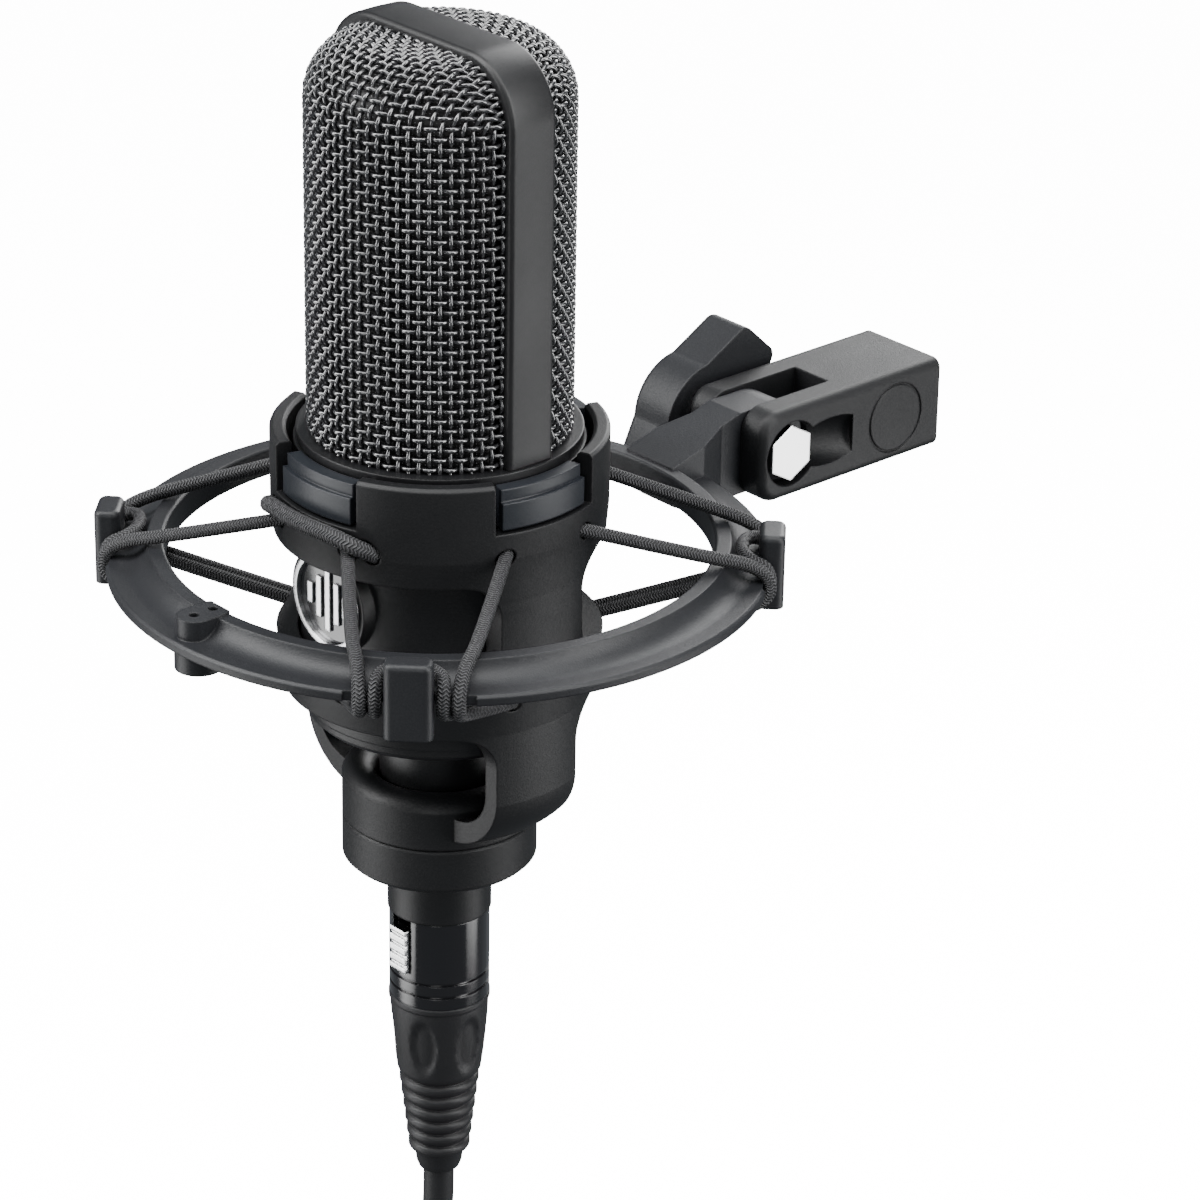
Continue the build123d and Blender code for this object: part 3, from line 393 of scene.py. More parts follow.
def lathe(name, profile, sides=96):
    """Extrudes a ring of edges from one (r, z) station to the next about the microphone's axis."""
    deselect()
    first_r, first_z = profile[0]
    centre = Vector((0, AXIS_Y * MM, 0))
    bpy.ops.mesh.primitive_circle_add(
        vertices=sides, radius=first_r * MM, fill_type="NGON", location=(0, AXIS_Y * MM, first_z * MM)
    )
    obj = bpy.context.object
    obj.name = name
    bpy.ops.object.transform_apply(location=True, rotation=True, scale=True)
    bpy.ops.object.mode_set(mode="EDIT")
    bpy.ops.mesh.select_all(action="SELECT")
    before_r, before_z = first_r, first_z
    for r, z in profile[1:]:
        bpy.ops.mesh.extrude_region_move(TRANSFORM_OT_translate={"value": (0, 0, (z - before_z) * MM)})
        if abs(r - before_r) > 1e-9:
            ratio = r / before_r
            bpy.ops.transform.resize(value=(ratio, ratio, 1), center_override=centre)
        before_r, before_z = r, z
    bpy.ops.mesh.select_all(action="SELECT")
    bpy.ops.mesh.normals_make_consistent(inside=False)
    bpy.ops.object.mode_set(mode="OBJECT")
    return obj


# ---------------------------------------------------------------- the woven head
class Weave:
    """The rounded surface of one grille half, drawn about the axis, with front towards -Y."""

    def __init__(self, settings):
        wire_r = settings.wire_diameter / 2
        self.pitch = settings.wire_pitch
        self.radius = (AXIS_Y - GRILLE_LOW[1]) - settings.wire_diameter
        self.edge = settings.edge_radius - settings.wire_diameter
        self.top = GRILLE_HIGH[2] - settings.wire_diameter
        self.base = GRILLE_LOW[2] - 0.6
        self.turn_z = self.top - self.edge
        self.flat_r = self.radius - self.edge
        self.gap_y = AXIS_Y - GRILLE_HIGH[1] - 0.6
        self.wave = wire_r
        self.widest = self.radius * math.acos(self.gap_y / self.radius) / self.pitch

    def height(self, r):
        """Height of the rounded top at a distance from the axis."""
        over = np.clip(r - self.flat_r, 0, self.edge)
        return self.turn_z + np.sqrt(np.maximum(self.edge**2 - over**2, 0))

    def over_the_top(self, u):
        """Points of the wire at u, from the turn to the hoop, and their distance along it."""
        angle = u * self.pitch / self.radius
        start = np.array([self.radius * math.sin(angle), -self.radius * math.cos(angle)])
        ratio = u / self.widest
        arch = abs(ratio) * (self.flat_r + self.edge * math.pi / 2)
        if arch < self.flat_r:
            end_x = arch
        else:
            bend = min((arch - self.flat_r) / self.edge, math.pi / 2)
            reach = self.flat_r + self.edge * math.sin(bend)
            end_x = math.sqrt(max(reach**2 - self.gap_y**2, 0))
        end = np.array([math.copysign(end_x, u), -self.gap_y])
        share = np.sin(np.linspace(0, math.pi / 2, 90)) ** 2
        share = share[:, None]
        plan = start * (1 - share) + end * share
        z = self.height(np.linalg.norm(plan, axis=1))
        line = np.column_stack([plan, z])
        steps = np.linalg.norm(np.diff(line, axis=0), axis=1)
        return line, np.concatenate([[0], np.cumsum(steps)])

    def point(self, u, along):
        """A point at wire number u and distance along from the turn (negative is down the side)."""
        if along <= 0:
            angle = u * self.pitch / self.radius
            x, y = self.radius * math.sin(angle), -self.radius * math.cos(angle)
            return np.array([x, y, self.turn_z + along])
        line, reach = self.over_the_top(u)
        return np.array([np.interp(along, reach, line[:, i]) for i in range(3)])

    def normal(self, points):
        """Unit vectors off the surface at the points."""
        r = np.linalg.norm(points[:, :2], axis=1)
        out = np.clip(r - self.flat_r, 0, self.edge) / self.edge
        radial = points[:, :2] / np.maximum(r, 1e-6)[:, None]
        up = np.where(points[:, 2] <= self.turn_z, 0.0, np.sqrt(np.maximum(1 - out**2, 0)))
        return np.column_stack([radial * out[:, None], up])

    def upright(self):
        """The wires that climb the side and run over the top to the hoop."""
        lines, normals = [], []
        count = int(self.widest)
        for number in range(-count, count + 1):
            line, reach = self.over_the_top(number)
            along = np.arange(self.base - self.turn_z, reach[-1], self.pitch / 6)
            angle = number * self.pitch / self.radius
            side = np.column_stack([
                np.full(along.shape, self.radius * math.sin(angle)),
                np.full(along.shape, -self.radius * math.cos(angle)),
                self.turn_z + along,
            ])
            over = np.column_stack([np.interp(along, reach, line[:, i]) for i in range(3)])
            points = np.where((along <= 0)[:, None], side, over)
            up = self.normal(points)
            sign = -1 if number % 2 else 1
            lines.append(points + up * (self.wave * sign * np.cos(math.pi * along / self.pitch))[:, None])
            normals.append(up)
        return lines, normals

    def across(self):
        """The wires that cross the side level, and then step in over the top."""
        lines, normals = [], []
        longest = self.over_the_top(0)[1][-1]
        first = math.ceil((self.base + 0.9 - self.turn_z) / self.pitch)
        for row in range(first, int(longest / self.pitch) + 1):
            along = row * self.pitch
            reach = self.widest
            if along > 0:
                low, high = 0.0, self.widest
                for _ in range(24):
                    middle = (low + high) / 2
                    if self.over_the_top(middle)[1][-1] >= along:
                        low = middle
                    else:
                        high = middle
                reach = low
            if reach < 1:
                continue
            samples = np.linspace(-reach, reach, int(reach * 2 * 6))
            points = np.array([self.point(u, along) for u in samples])
            up = self.normal(points)
            sign = 1 if row % 2 else -1
            lines.append(points + up * (self.wave * sign * np.cos(math.pi * samples))[:, None])
            normals.append(up)
        return lines, normals


def place_half(lines, normals, back):
    """Moves lines drawn about the origin onto the axis, turned half round for the back."""
    flip = np.array([-1, -1, 1]) if back else np.array([1, 1, 1])
    shift = np.array([0, AXIS_Y, 0])
    return [line * flip + shift for line in lines], [up * flip for up in normals]


class MIC_OT_grilles(bpy.types.Operator):
    """Weave both halves of the wire head"""

    bl_idname = "mic.grilles"
    bl_label = "Woven grilles"

    def execute(self, context):
        settings = context.scene.mic_head
        wire = finish(
            "lacquered wire", (0.018, 0.018, 0.0195), 0.2, coat=1.0, spread=0.05, specular=0.9, edge=0.00002
        )
        weave = Weave(settings)
        for side, back in (("front", False), ("back", True)):
            for word, stretch in (("upright", weave.upright()), ("across", weave.across())):
                lines, normals = place_half(*stretch, back)
                obj = tubes(f"grille_{side}_{word}_wires", lines, normals, settings.wire_diameter / 2, 6)
                paint(obj, wire)
                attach(obj, "cradle")
                if word == "upright":
                    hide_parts(f"grille_{side}")
        return {"FINISHED"}


class MIC_OT_hoop(bpy.types.Operator):
    """Build the chamfered hoop over the head"""

    bl_idname = "mic.hoop"
    bl_label = "Hoop"

    def execute(self, context):
        settings = context.scene.mic_head
        half_w = (BAND_HIGH[0] - BAND_LOW[0]) / 2
        half_y = (BAND_HIGH[1] - BAND_LOW[1]) / 2
        corner, wall, cut = settings.band_corner, settings.band_wall, settings.band_chamfer
        top, low = BAND_HIGH[2], BAND_LOW[2]
        path = [(-half_w, low, -1.0, 0.0), (-half_w, (low + top - corner) / 2, -1.0, 0.0)]
        bends = np.linspace(0, math.pi / 2, 25)
        for bend in bends:
            c, s = math.cos(bend), math.sin(bend)
            path.append((-half_w + corner - corner * c, top - corner + corner * s, -c, s))
        for bend in bends[::-1]:
            c, s = math.cos(bend), math.sin(bend)
            path.append((half_w - corner + corner * c, top - corner + corner * s, c, s))
        path += [(half_w, (low + top - corner) / 2, 1.0, 0.0), (half_w, low, 1.0, 0.0)]
        arc = [math.radians(a) for a in range(0, 91, 15)]
        left = [(-half_y + cut * (1 - math.cos(t)), -cut * (1 - math.sin(t))) for t in arc]
        right = [(-y, depth) for y, depth in reversed(left)]
        section = [(-half_y, -wall)] + left + [(0.0, 0.1)] + right + [(half_y, -wall)]
        points = []
        for x, z, nx, nz in path:
            for y, depth in section:
                points.append((x + nx * depth, AXIS_Y + y, z + nz * depth))
        wide, faces = len(section), []
        for i in range(len(path) - 1):
            for k in range(wide):
                n = (k + 1) % wide
                faces.append((i * wide + k, (i + 1) * wide + k, (i + 1) * wide + n, i * wide + n))
        faces.append(tuple(range(wide)))
        faces.append(tuple(reversed(range((len(path) - 1) * wide, len(path) * wide))))
        obj = mesh_piece("head_hoop", points, faces)
        outward(obj)
        smooth(obj, 25.0)
        colour = context.scene.mic_finish.body_colour
        paint(obj, finish("satin powder coat", colour, 0.42, grain=4200, depth=0.22))
        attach(obj, "cradle")
        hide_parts("grille_band")
        return {"FINISHED"}


# ---------------------------------------------------------------- elastics
# ring, cradle and peg sizes in millimetres and degrees, the same as the CAD pieces have
RING_IN_R, RING_LIP_R = 50.5, 58.0
RING_TOP_Z, RING_LIP_Z, RING_LOW_Z, NOTCH_R = 2.6, -0.8, -2.7, 59.6
CRADLE_R, CRADLE_BAND_R = 31.0, 30.2
HOLE_DEG, HOLE_Z, SLOT_Z = 30.0, 11.2, -19.5
PEG_W, CORD_PITCH = 8.6, 2.75
PEG_DEGS = (-45.0, 45.0, 135.0, 225.0)


def peg_point(peg_deg, outward_mm, along, z):
    """A point given by its distance from the axis towards a peg and along the peg's tangent."""
    c, s = math.cos(math.radians(peg_deg)), math.sin(math.radians(peg_deg))
    return (outward_mm * c - along * s, AXIS_Y + outward_mm * s + along * c, z)


def polar_point(radius, angle_deg, z):
    """A point at a radius and angle about the microphone's axis."""
    angle = math.radians(angle_deg)
    return (radius * math.cos(angle), AXIS_Y + radius * math.sin(angle), z)


def elastic_routes(peg_deg, radius):
    """The three cords about one peg: one each side, and the loop that passes behind the peg."""
    notch_z = RING_LOW_Z - radius - 0.1
    outer_r = NOTCH_R + radius + 0.15
    flange_z = RING_TOP_Z + radius + 0.25
    lane = PEG_W / 2 + radius + 0.3
    turn = math.radians(HOLE_DEG)
    hole_r, slot_r = CRADLE_R - 2.2, CRADLE_BAND_R - 2.4
    routes = []
    for side in (-1, 1):
        outer_lane = side * (lane + CORD_PITCH)
        routes.append([
            (hole_r * math.cos(turn), side * hole_r * math.sin(turn), HOLE_Z),
            (RING_IN_R - 1.0, outer_lane + side * 2.6, flange_z + 0.6),
            (RING_LIP_R - 2.0, outer_lane + side * 0.8, flange_z - 0.9),
            (outer_r - 0.4, outer_lane, RING_LIP_Z + 1.4),
            (outer_r, outer_lane, notch_z + 0.6),
            (outer_r - 2.6, outer_lane + side * 0.1, notch_z - 1.5),
            (slot_r * math.cos(turn), side * (slot_r * math.sin(turn) + CORD_PITCH / 2), SLOT_Z),
        ])
    right = [
        (slot_r * math.cos(turn), slot_r * math.sin(turn) - CORD_PITCH / 2, SLOT_Z),
        (outer_r - 2.6, lane + 0.1, notch_z - 1.5),
        (outer_r, lane, notch_z + 0.6),
        (outer_r - 0.5, lane + 0.1, RING_LIP_Z + 1.5),
        (RING_LIP_R - 0.6, lane - 0.3, RING_LIP_Z + 2.6),
        (RING_LIP_R - 2.5, 2.4, RING_LIP_Z + 3.0),
    ]
    routes.append(right + [(o, -a, z) for o, a, z in reversed(right)])
    return [[peg_point(peg_deg, *station) for station in route] for route in routes]


def bridge_route(radius):
    """The heavier cord across the front of the cradle, just under the pad."""
    half = [
        (CRADLE_R - 1.4, 27.5, HOLE_Z - 0.6),
        (CRADLE_R + radius + 0.2, 23.5, HOLE_Z + 1.6),
        (CRADLE_R + radius + 0.5, 15.0, HOLE_Z + 3.0),
        (CRADLE_R + radius + 0.5, 5.0, HOLE_Z + 3.2),
    ]
    left = [polar_point(r, -90 - a, z) for r, a, z in half]
    right = [polar_point(r, -90 + a, z) for r, a, z in reversed(half)]
    return left + right


def spline_curve(name, stations):
    """A curve object of one NURBS spline with the stations as its control points."""
    curve = bpy.data.curves.new(name, "CURVE")
    curve.dimensions = "3D"
    spline = curve.splines.new("NURBS")
    spline.points.add(len(stations) - 1)
    for point, station in zip(spline.points, stations):
        point.co = (*[c * MM for c in station], 1.0)
    spline.order_u = 3
    spline.use_endpoint_u = True
    spline.resolution_u = 12
    obj = bpy.data.objects.new(name, curve)
    bpy.context.scene.collection.objects.link(obj)
    return obj


def spline_line(stations):
    """Evenly spaced points, in millimetres, along the NURBS spline of the stations."""
    holder = spline_curve("route", stations)
    bpy.context.view_layer.update()
    mesh = bpy.data.meshes.new_from_object(holder)
    line = np.array([v.co for v in mesh.vertices]) / MM
    bpy.data.objects.remove(holder)
    bpy.data.meshes.remove(mesh)
    return line


def even(line, step):
    """The same line with its points a fixed step apart."""
    reach = np.concatenate([[0], np.cumsum(np.linalg.norm(np.diff(line, axis=0), axis=1))])
    marks = np.linspace(0, reach[-1], max(4, int(reach[-1] / step)))
    return np.column_stack([np.interp(marks, reach, line[:, i]) for i in range(3)]), marks


def braided(name, routes, radius):
    """Cords with the braid's relief in the mesh and its lay in a UV map."""
    sides, step, yarns, lay = 20, 0.2, 5, 1.5
    points, faces, uvs = [], [], []
    turn = np.arange(sides + 1) / sides
    for stations in routes:
        line, reach = even(spline_line(stations), step)
        along = np.gradient(line, axis=0)
        along /= np.linalg.norm(along, axis=1, keepdims=True)
        up = np.cross(along[0], (0.3, 0.2, 0.93))
        up /= np.linalg.norm(up)
        start = len(points)
        for centre, direction, distance in zip(line, along, reach):
            up = up - direction * np.dot(up, direction)
            up /= np.linalg.norm(up)
            side = np.cross(direction, up)
            for share in turn[:-1]:
                a = share * yarns + distance / lay
                b = share * yarns - distance / lay
                relief = math.sin(2 * math.pi * a) * math.sin(2 * math.pi * b)
                reach_out = radius * (0.955 + 0.045 * relief)
                angle = share * 2 * math.pi
                points.append(centre + reach_out * (math.cos(angle) * up + math.sin(angle) * side))
        for i in range(len(line) - 1):
            low, high = start + i * sides, start + (i + 1) * sides
            for k in range(sides):
                n = (k + 1) % sides
                faces.append((low + k, low + n, high + n, high + k))
                left, right = turn[k] * yarns, turn[k + 1] * yarns
                near, far = reach[i] / lay, reach[i + 1] / lay
                uvs.append(((left, near), (right, near), (right, far), (left, far)))
        last = start + (len(line) - 1) * sides
        faces.append(tuple(reversed(range(start, start + sides))))
        faces.append(tuple(range(last, last + sides)))
        uvs += [((0, 0),) * sides] * 2
    obj = mesh_piece(name, points, faces)
    layer = obj.data.uv_layers.new(name="braid")
    layer.data.foreach_set("uv", np.array([c for face in uvs for pair in face for c in pair], np.float32))
    obj.data.polygons.foreach_set("use_smooth", [True] * len(obj.data.polygons))
    return obj


class MIC_OT_elastics(bpy.types.Operator):
    """Braid the elastics round the pegs and across the cradle's front"""

    bl_idname = "mic.elastics"
    bl_label = "Elastics"

    def execute(self, context):
        sizes = context.scene.mic_cords
        light = tuple(context.scene.mic_finish.fleck_colour)
        yarn = braid_material("braided elastic", (0.006, 0.006, 0.007), light)
        for number, peg_deg in enumerate(PEG_DEGS, start=1):
            routes = elastic_routes(peg_deg, sizes.elastic_radius)
            obj = braided(f"elastic_{number}_braid", routes, sizes.elastic_radius)
            paint(obj, yarn)
            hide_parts(f"elastic_{number}")
            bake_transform(obj)
        obj = braided("front_cord_braid", [bridge_route(sizes.bridge_radius)], sizes.bridge_radius)
        paint(obj, yarn)
        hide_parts("bridge_cord")
        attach(obj, "cradle")
        return {"FINISHED"}


# ---------------------------------------------------------------- plug boot and cable
class MIC_OT_boot(bpy.types.Operator):
    """Turn the plug's boot, with its grip hollows and its ribs"""

    bl_idname = "mic.boot"
    bl_label = "Plug boot"

    def execute(self, context):
        top, low = BOOT_HIGH[2], BOOT_LOW[2]
        widest = (BOOT_HIGH[0] - BOOT_LOW[0]) / 2
        cable_r = context.scene.mic_cords.cable_diameter / 2
        profile = [(widest - 0.25, top), (widest - 0.05, top - 0.2), (widest - 0.05, top - 1.1)]
        profile += [(widest - 0.35, top - 1.4)]
        for share in np.linspace(0, 1, 22):
            profile.append((widest - 0.35 - 1.35 * share**1.6, top - 1.8 - 15.2 * share))
        profile += [(widest - 2.1, top - 17.5), (widest - 2.6, top - 17.9)]
        ribs, rib_pitch, rib_taper = 6, 2.95, 0.34
        for rib in range(ribs):
            rib_top = top - 18.3 - rib * rib_pitch
            crest = widest - 2.1 - rib_taper * rib
            profile += [
                (crest - 0.75, rib_top), (crest - 0.2, rib_top - 0.25), (crest, rib_top - 0.6),
                (crest, rib_top - 1.6), (crest - 0.2, rib_top - 1.95), (crest - 0.75, rib_top - 2.2),
            ]
        end = cable_r + 0.75
        profile += [(end + 0.9, low + 3.2), (end + 0.7, low + 1.6), (end + 0.25, low + 0.4), (end - 0.2, low)]
        obj = lathe("boot_moulding", profile)
        grips, half_span, hollow = 6, 0.30, 0.075
        middle, half_h = top - 9.2, 6.2
        for vertex in obj.data.vertices:
            x, y, z = vertex.co.x / MM, vertex.co.y / MM - AXIS_Y, vertex.co.z / MM
            if abs(z - middle) > half_h:
                continue
            angle = math.atan2(y, x)
            off = (angle * grips / (2 * math.pi)) % 1.0
            off = min(off, 1 - off) * 2 * math.pi / grips
            oval = (off / half_span) ** 2 + ((z - middle) / half_h) ** 2
            if oval < 1:
                pull = 1 - hollow * min(1.0, (1 - oval) * 3.0)
                vertex.co.x = x * pull * MM
                vertex.co.y = (AXIS_Y + y * pull) * MM
        smooth(obj, 38.0)
        paint(obj, finish("boot moulding", (0.011, 0.011, 0.012), 0.48, grain=5000, depth=0.25))
        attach(obj, "plug")
        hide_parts("plug_boot")
        return {"FINISHED"}


LEAD_STATIONS = [
    (0.0, AXIS_Y, -129.0),
    (0.0, AXIS_Y, -152.0),
    (-7.0, AXIS_Y, -174.0),
    (-9.0, AXIS_Y, -197.0),
    (0.0, AXIS_Y, -213.5),
]
ROWS_IN_ORDER = (
    (0, 3), (-1, 3), (-1, 2), (0, 2), (0, 1), (-1, 1), (-1, 0), (0, 0), (1, 0), (1, 1), (1, 2), (1, 3),
)
COIL_TURN_DEG, COIL_STEP_DEG = 3690, 15.0


def coil_stations(diameter):
    """Control points of the wound cable, one lane after another, each change of lane a twelfth early."""
    centre_x = (COIL_LOW[0] + COIL_HIGH[0]) / 2
    centre_z = (COIL_LOW[2] + COIL_HIGH[2]) / 2
    outer_r = (COIL_HIGH[0] - COIL_LOW[0]) / 2
    inmost = outer_r - diameter * 3.5
    lane_turn, change = 330.0, 40.0
    stations = []
    for degrees in np.arange(0, COIL_TURN_DEG + 1, COIL_STEP_DEG):
        lane = min(int((degrees + change / 2) // lane_turn), len(ROWS_IN_ORDER) - 1)
        into = degrees - lane * lane_turn + change / 2
        share = min(1.0, max(0.0, into / change)) if lane else 1.0
        share = share * share * (3 - 2 * share)
        before, after = ROWS_IN_ORDER[max(lane - 1, 0)], ROWS_IN_ORDER[lane]
        layer = before[0] * (1 - share) + after[0] * share
        row = before[1] * (1 - share) + after[1] * share
        angle = math.radians(90.0 - degrees)
        radius = inmost + row * diameter
        stations.append((
            centre_x + radius * math.cos(angle),
            AXIS_Y + layer * diameter,
            centre_z + radius * math.sin(angle),
        ))
    return stations


class MIC_OT_cable(bpy.types.Operator):
    """Run the cable from the plug through its coil to the far connector"""

    bl_idname = "mic.cable"
    bl_label = "Cable"

    def execute(self, context):
        sizes = context.scene.mic_cords
        coil = coil_stations(sizes.cable_diameter)
        far_x = (FAR_BOOT_LOW[0] + FAR_BOOT_HIGH[0]) / 2
        end_z = FAR_BOOT_HIGH[2] - 4.0
        drop = coil[-1][2] - end_z
        tail = [
            (far_x, AXIS_Y + 5.0, coil[-1][2] - drop * 0.3),
            (far_x, AXIS_Y + 1.0, coil[-1][2] - drop * 0.65),
            (far_x, AXIS_Y, end_z),
        ]
        obj = spline_curve("cable", LEAD_STATIONS + coil + tail)
        obj.data.bevel_depth = sizes.cable_diameter / 2 * MM
        obj.data.bevel_resolution = 5
        obj.data.use_fill_caps = True
        obj.data.splines[0].resolution_u = 4
        obj.data.materials.append(finish("cable jacket", (0.010, 0.010, 0.011), 0.55, grain=3500, depth=0.3))
        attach(obj, "plug")
        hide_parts("cable_lead", "cable_coil", "cable_tail")
        return {"FINISHED"}


# ---------------------------------------------------------------- finishes of the carried-over nodes
class MIC_OT_finishes(bpy.types.Operator):
    """Give every carried-over node its finish"""

    bl_idname = "mic.finishes"
    bl_label = "Finishes"

    def execute(self, context):
        colours = context.scene.mic_finish
        satin = finish("satin powder coat", colours.body_colour, 0.42, grain=4200, depth=0.22)
        cradle = finish("cradle moulding", colours.cradle_colour, 0.5, grain=3600, depth=0.35)
        ring = finish("ring moulding", colours.ring_colour, 0.46, grain=3200, depth=0.35)
        pad = finish("pad rubber", colours.pad_colour, 0.38, grain=2600, depth=0.15)
        gloss = finish(
            "gloss black plating", (0.006, 0.006, 0.007), 0.14, grain=900, depth=0.05, coat=0.8, spread=0.04
        )
        steel = finish(
            "bright steel", (0.80, 0.80, 0.80), 0.16, metallic=1.0, grain=1500, depth=0.05, spread=0.05
        )
        silver = finish("silver trim", (0.74, 0.74, 0.75), 0.26, metallic=1.0, grain=6000, depth=0.1)
        brass = finish("turned brass", (0.80, 0.58, 0.26), 0.28, metallic=1.0, grain=5000, depth=0.1)
        film = finish("gold film", (0.90, 0.66, 0.30), 0.12, metallic=1.0, grain=800, depth=0.03, spread=0.03)
        moulding = finish("insert moulding", (0.014, 0.014, 0.015), 0.4, grain=3000, depth=0.2)
        board = finish("board laminate", (0.012, 0.09, 0.045), 0.35, grain=1500, depth=0.1)
        parts = finish("component sleeves", (0.03, 0.03, 0.045), 0.3, grain=2000, depth=0.1)
        zinc = finish("cast zinc", (0.30, 0.30, 0.31), 0.5, metallic=0.9, grain=2500, depth=0.3)
        tie = finish("tie fabric", (0.012, 0.012, 0.013), 0.9, grain=7000, depth=0.9)
        table = {
            satin: ("body_tube", "head_base", "head_deck", "base_plate", "stem", "xlr_shell"),
            cradle: ("cradle", "lock_ring", "swivel_fork"),
            ring: ("outer_ring", "ring_pegs", "wing_knob"),
            pad: (
                "cradle_pad_front", "cradle_pad_back", "cradle_pad_left", "cradle_pad_right", "capsule_post",
            ),
            gloss: ("plug_shell", "far_shell", "badge_disc", "base_screws"),
            steel: ("hinge_bolt", "hinge_washer", "plug_latch", "xlr_pins", "far_pins"),
            silver: ("badge_bars", "badge_rim", "capsule_housing"),
            brass: ("capsule_backplates", "clamp_rings", "knob_nut", "plug_contacts"),
            film: ("diaphragms",),
            moulding: (
                "xlr_insert", "plug_insert", "far_insert", "pad_switch", "filter_switch", "switch_bodies",
                "far_boot",
            ),
            board: ("circuit_board",),
            parts: ("board_components",),
            zinc: ("chassis_rails",),
            tie: ("coil_tie",),
            screen_material(): ("fine_screen_front", "fine_screen_back"),
        }
        for material, names in table.items():
            for name in names:
                paint(NODES[name], material)
        return {"FINISHED"}


# ---------------------------------------------------------------- stage
SURROUND_GLOW, ROOM_LIGHT = 14.0, 0.2
FLOOR_DROP = 0.12
CAMERA_AZIMUTH, CAMERA_ELEVATION, CAMERA_REACH = 50.0, 25.2, 0.860
CAMERA_AIM_Z, CAMERA_AIM_RIGHT, CAMERA_ROLL, CAMERA_LENS = -0.011, 0.0296, 1.0, 139.6


def away_from_middle(azimuth_deg, elevation_deg):
    """Unit vector out from the microphone; azimuth turns from its front towards +X."""
    azimuth, elevation = math.radians(azimuth_deg), math.radians(elevation_deg)
    return Vector((
        math.sin(azimuth) * math.cos(elevation),
        -math.cos(azimuth) * math.cos(elevation),
        math.sin(elevation),
    ))


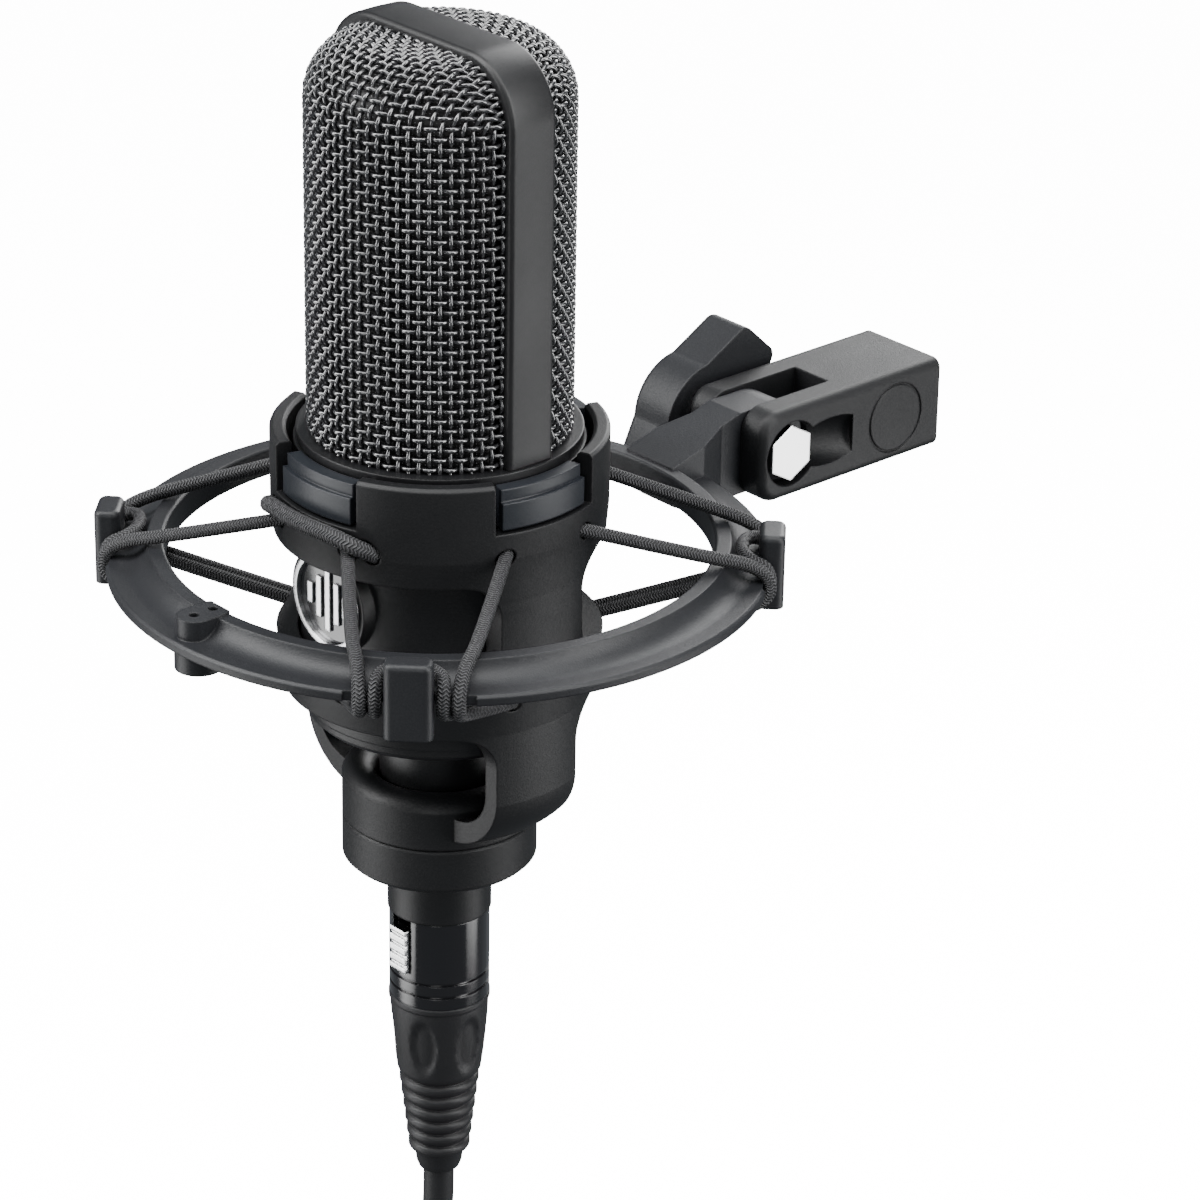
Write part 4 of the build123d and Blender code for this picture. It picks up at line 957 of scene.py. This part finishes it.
class MIC_OT_stage(bpy.types.Operator):
    """Set the glowing white floor and surround, the soft lights and the camera"""

    bl_idname = "mic.stage"
    bl_label = "Stage"

    def execute(self, context):
        deselect()
        bpy.ops.mesh.primitive_plane_add(size=40, location=(0, 0, COIL_LOW[2] * MM - FLOOR_DROP))
        floor = context.object
        floor.name = "floor"
        pale, _, _, shader = new_material("pale floor")
        shader.inputs["Base Color"].default_value = (0.9, 0.9, 0.9, 1)
        shader.inputs["Roughness"].default_value = 0.9
        shader.inputs["Emission Color"].default_value = (1, 1, 1, 1)
        shader.inputs["Emission Strength"].default_value = SURROUND_GLOW
        floor.data.materials.append(pale)
        floor.visible_diffuse = floor.visible_glossy = floor.visible_shadow = False

        world = bpy.data.worlds.new("studio")
        context.scene.world = world
        world.use_nodes = True
        tree = world.node_tree
        dim = tree.nodes["Background"]
        dim.inputs["Color"].default_value = (0.86, 0.93, 1.0, 1)
        dim.inputs["Strength"].default_value = ROOM_LIGHT
        sweep = tree.nodes.new("ShaderNodeBackground")
        sweep.inputs["Color"].default_value = (1, 1, 1, 1)
        sweep.inputs["Strength"].default_value = SURROUND_GLOW
        rays = tree.nodes.new("ShaderNodeLightPath")
        choose = tree.nodes.new("ShaderNodeMixShader")
        tree.links.new(rays.outputs["Is Camera Ray"], choose.inputs["Fac"])
        tree.links.new(dim.outputs["Background"], choose.inputs[1])
        tree.links.new(sweep.outputs["Background"], choose.inputs[2])
        tree.links.new(choose.outputs["Shader"], tree.nodes["World Output"].inputs["Surface"])

        middle = Vector((0.0, AXIS_Y * MM, 0.0))
        lights = (
            ("left_softbox", -35, 38, 0.9, 0.40, 1.0, 18.0),
            ("right_softbox", 108, 24, 0.9, 0.30, 1.0, 11.5),
            ("top_softbox", 60, 80, 0.9, 0.8, 0.8, 13.0),
            ("rim_softbox", 205, 25, 1.0, 0.5, 1.0, 12.0),
            ("front_softbox", 42, 12, 1.6, 0.6, 0.9, 6.0),
            ("low_right_softbox", 130, -20, 0.8, 0.4, 0.4, 2.2),
            ("low_left_softbox", -30, -22, 0.8, 0.6, 0.4, 4.0),
        )
        for name, azimuth, elevation, reach, wide, tall, power in lights:
            lamp = bpy.data.lights.new(name, "AREA")
            lamp.shape = "RECTANGLE"
            lamp.size, lamp.size_y = wide, tall
            lamp.energy = power
            obj = bpy.data.objects.new(name, lamp)
            context.scene.collection.objects.link(obj)
            away = away_from_middle(azimuth, elevation)
            obj.location = middle + away * reach
            obj.rotation_euler = (-away).to_track_quat("-Z", "Y").to_euler()
            obj.visible_camera = False

        camera = bpy.data.cameras.new("camera")
        eye = bpy.data.objects.new("camera", camera)
        context.scene.collection.objects.link(eye)
        turn = math.radians(CAMERA_AZIMUTH)
        centre = Vector((0.0, AXIS_Y * MM, CAMERA_AIM_Z))
        right = Vector((math.cos(turn), math.sin(turn), 0.0))
        eye.location = centre + away_from_middle(CAMERA_AZIMUTH, CAMERA_ELEVATION) * CAMERA_REACH
        target = centre + right * CAMERA_AIM_RIGHT
        aim = (target - eye.location).to_track_quat("-Z", "Y")
        roll = Quaternion((0.0, 0.0, 1.0), math.radians(CAMERA_ROLL))
        eye.rotation_euler = (aim @ roll).to_euler()
        camera.sensor_width = 36.0
        camera.lens = CAMERA_LENS
        camera.clip_start = 0.05
        camera.clip_end = 50.0
        context.scene.camera = eye
        return {"FINISHED"}


# ---------------------------------------------------------------- panel and registration
STEPS = ("grilles", "hoop", "elastics", "boot", "cable", "finishes", "stage")


class MIC_PT_builder(bpy.types.Panel):
    """Buttons for each group of pieces"""

    bl_idname = "MIC_PT_builder"
    bl_label = "Microphone"
    bl_space_type = "VIEW_3D"
    bl_region_type = "UI"
    bl_category = "Microphone"

    def draw(self, context):
        for settings in (context.scene.mic_head, context.scene.mic_cords, context.scene.mic_finish):
            for name in settings.__annotations__:
                self.layout.prop(settings, name)
        for step in STEPS:
            self.layout.operator(f"mic.{step}")


CLASSES = (
    HeadSettings, CordSettings, FinishSettings, MIC_OT_grilles, MIC_OT_hoop, MIC_OT_elastics, MIC_OT_boot,
    MIC_OT_cable, MIC_OT_finishes, MIC_OT_stage, MIC_PT_builder,
)


def register():
    """Registers the classes and hangs the settings on the scene."""
    for cls in CLASSES:
        bpy.utils.register_class(cls)
    bpy.types.Scene.mic_head = bpy.props.PointerProperty(type=HeadSettings)
    bpy.types.Scene.mic_cords = bpy.props.PointerProperty(type=CordSettings)
    bpy.types.Scene.mic_finish = bpy.props.PointerProperty(type=FinishSettings)


def unregister():
    """Takes the settings and the classes away again."""
    del bpy.types.Scene.mic_head
    del bpy.types.Scene.mic_cords
    del bpy.types.Scene.mic_finish
    for cls in reversed(CLASSES):
        bpy.utils.unregister_class(cls)


def main():
    """Builds every group of pieces in order."""
    register()
    for step in STEPS:
        getattr(bpy.ops.mic, step)()


if __name__ == "__main__":
    main()
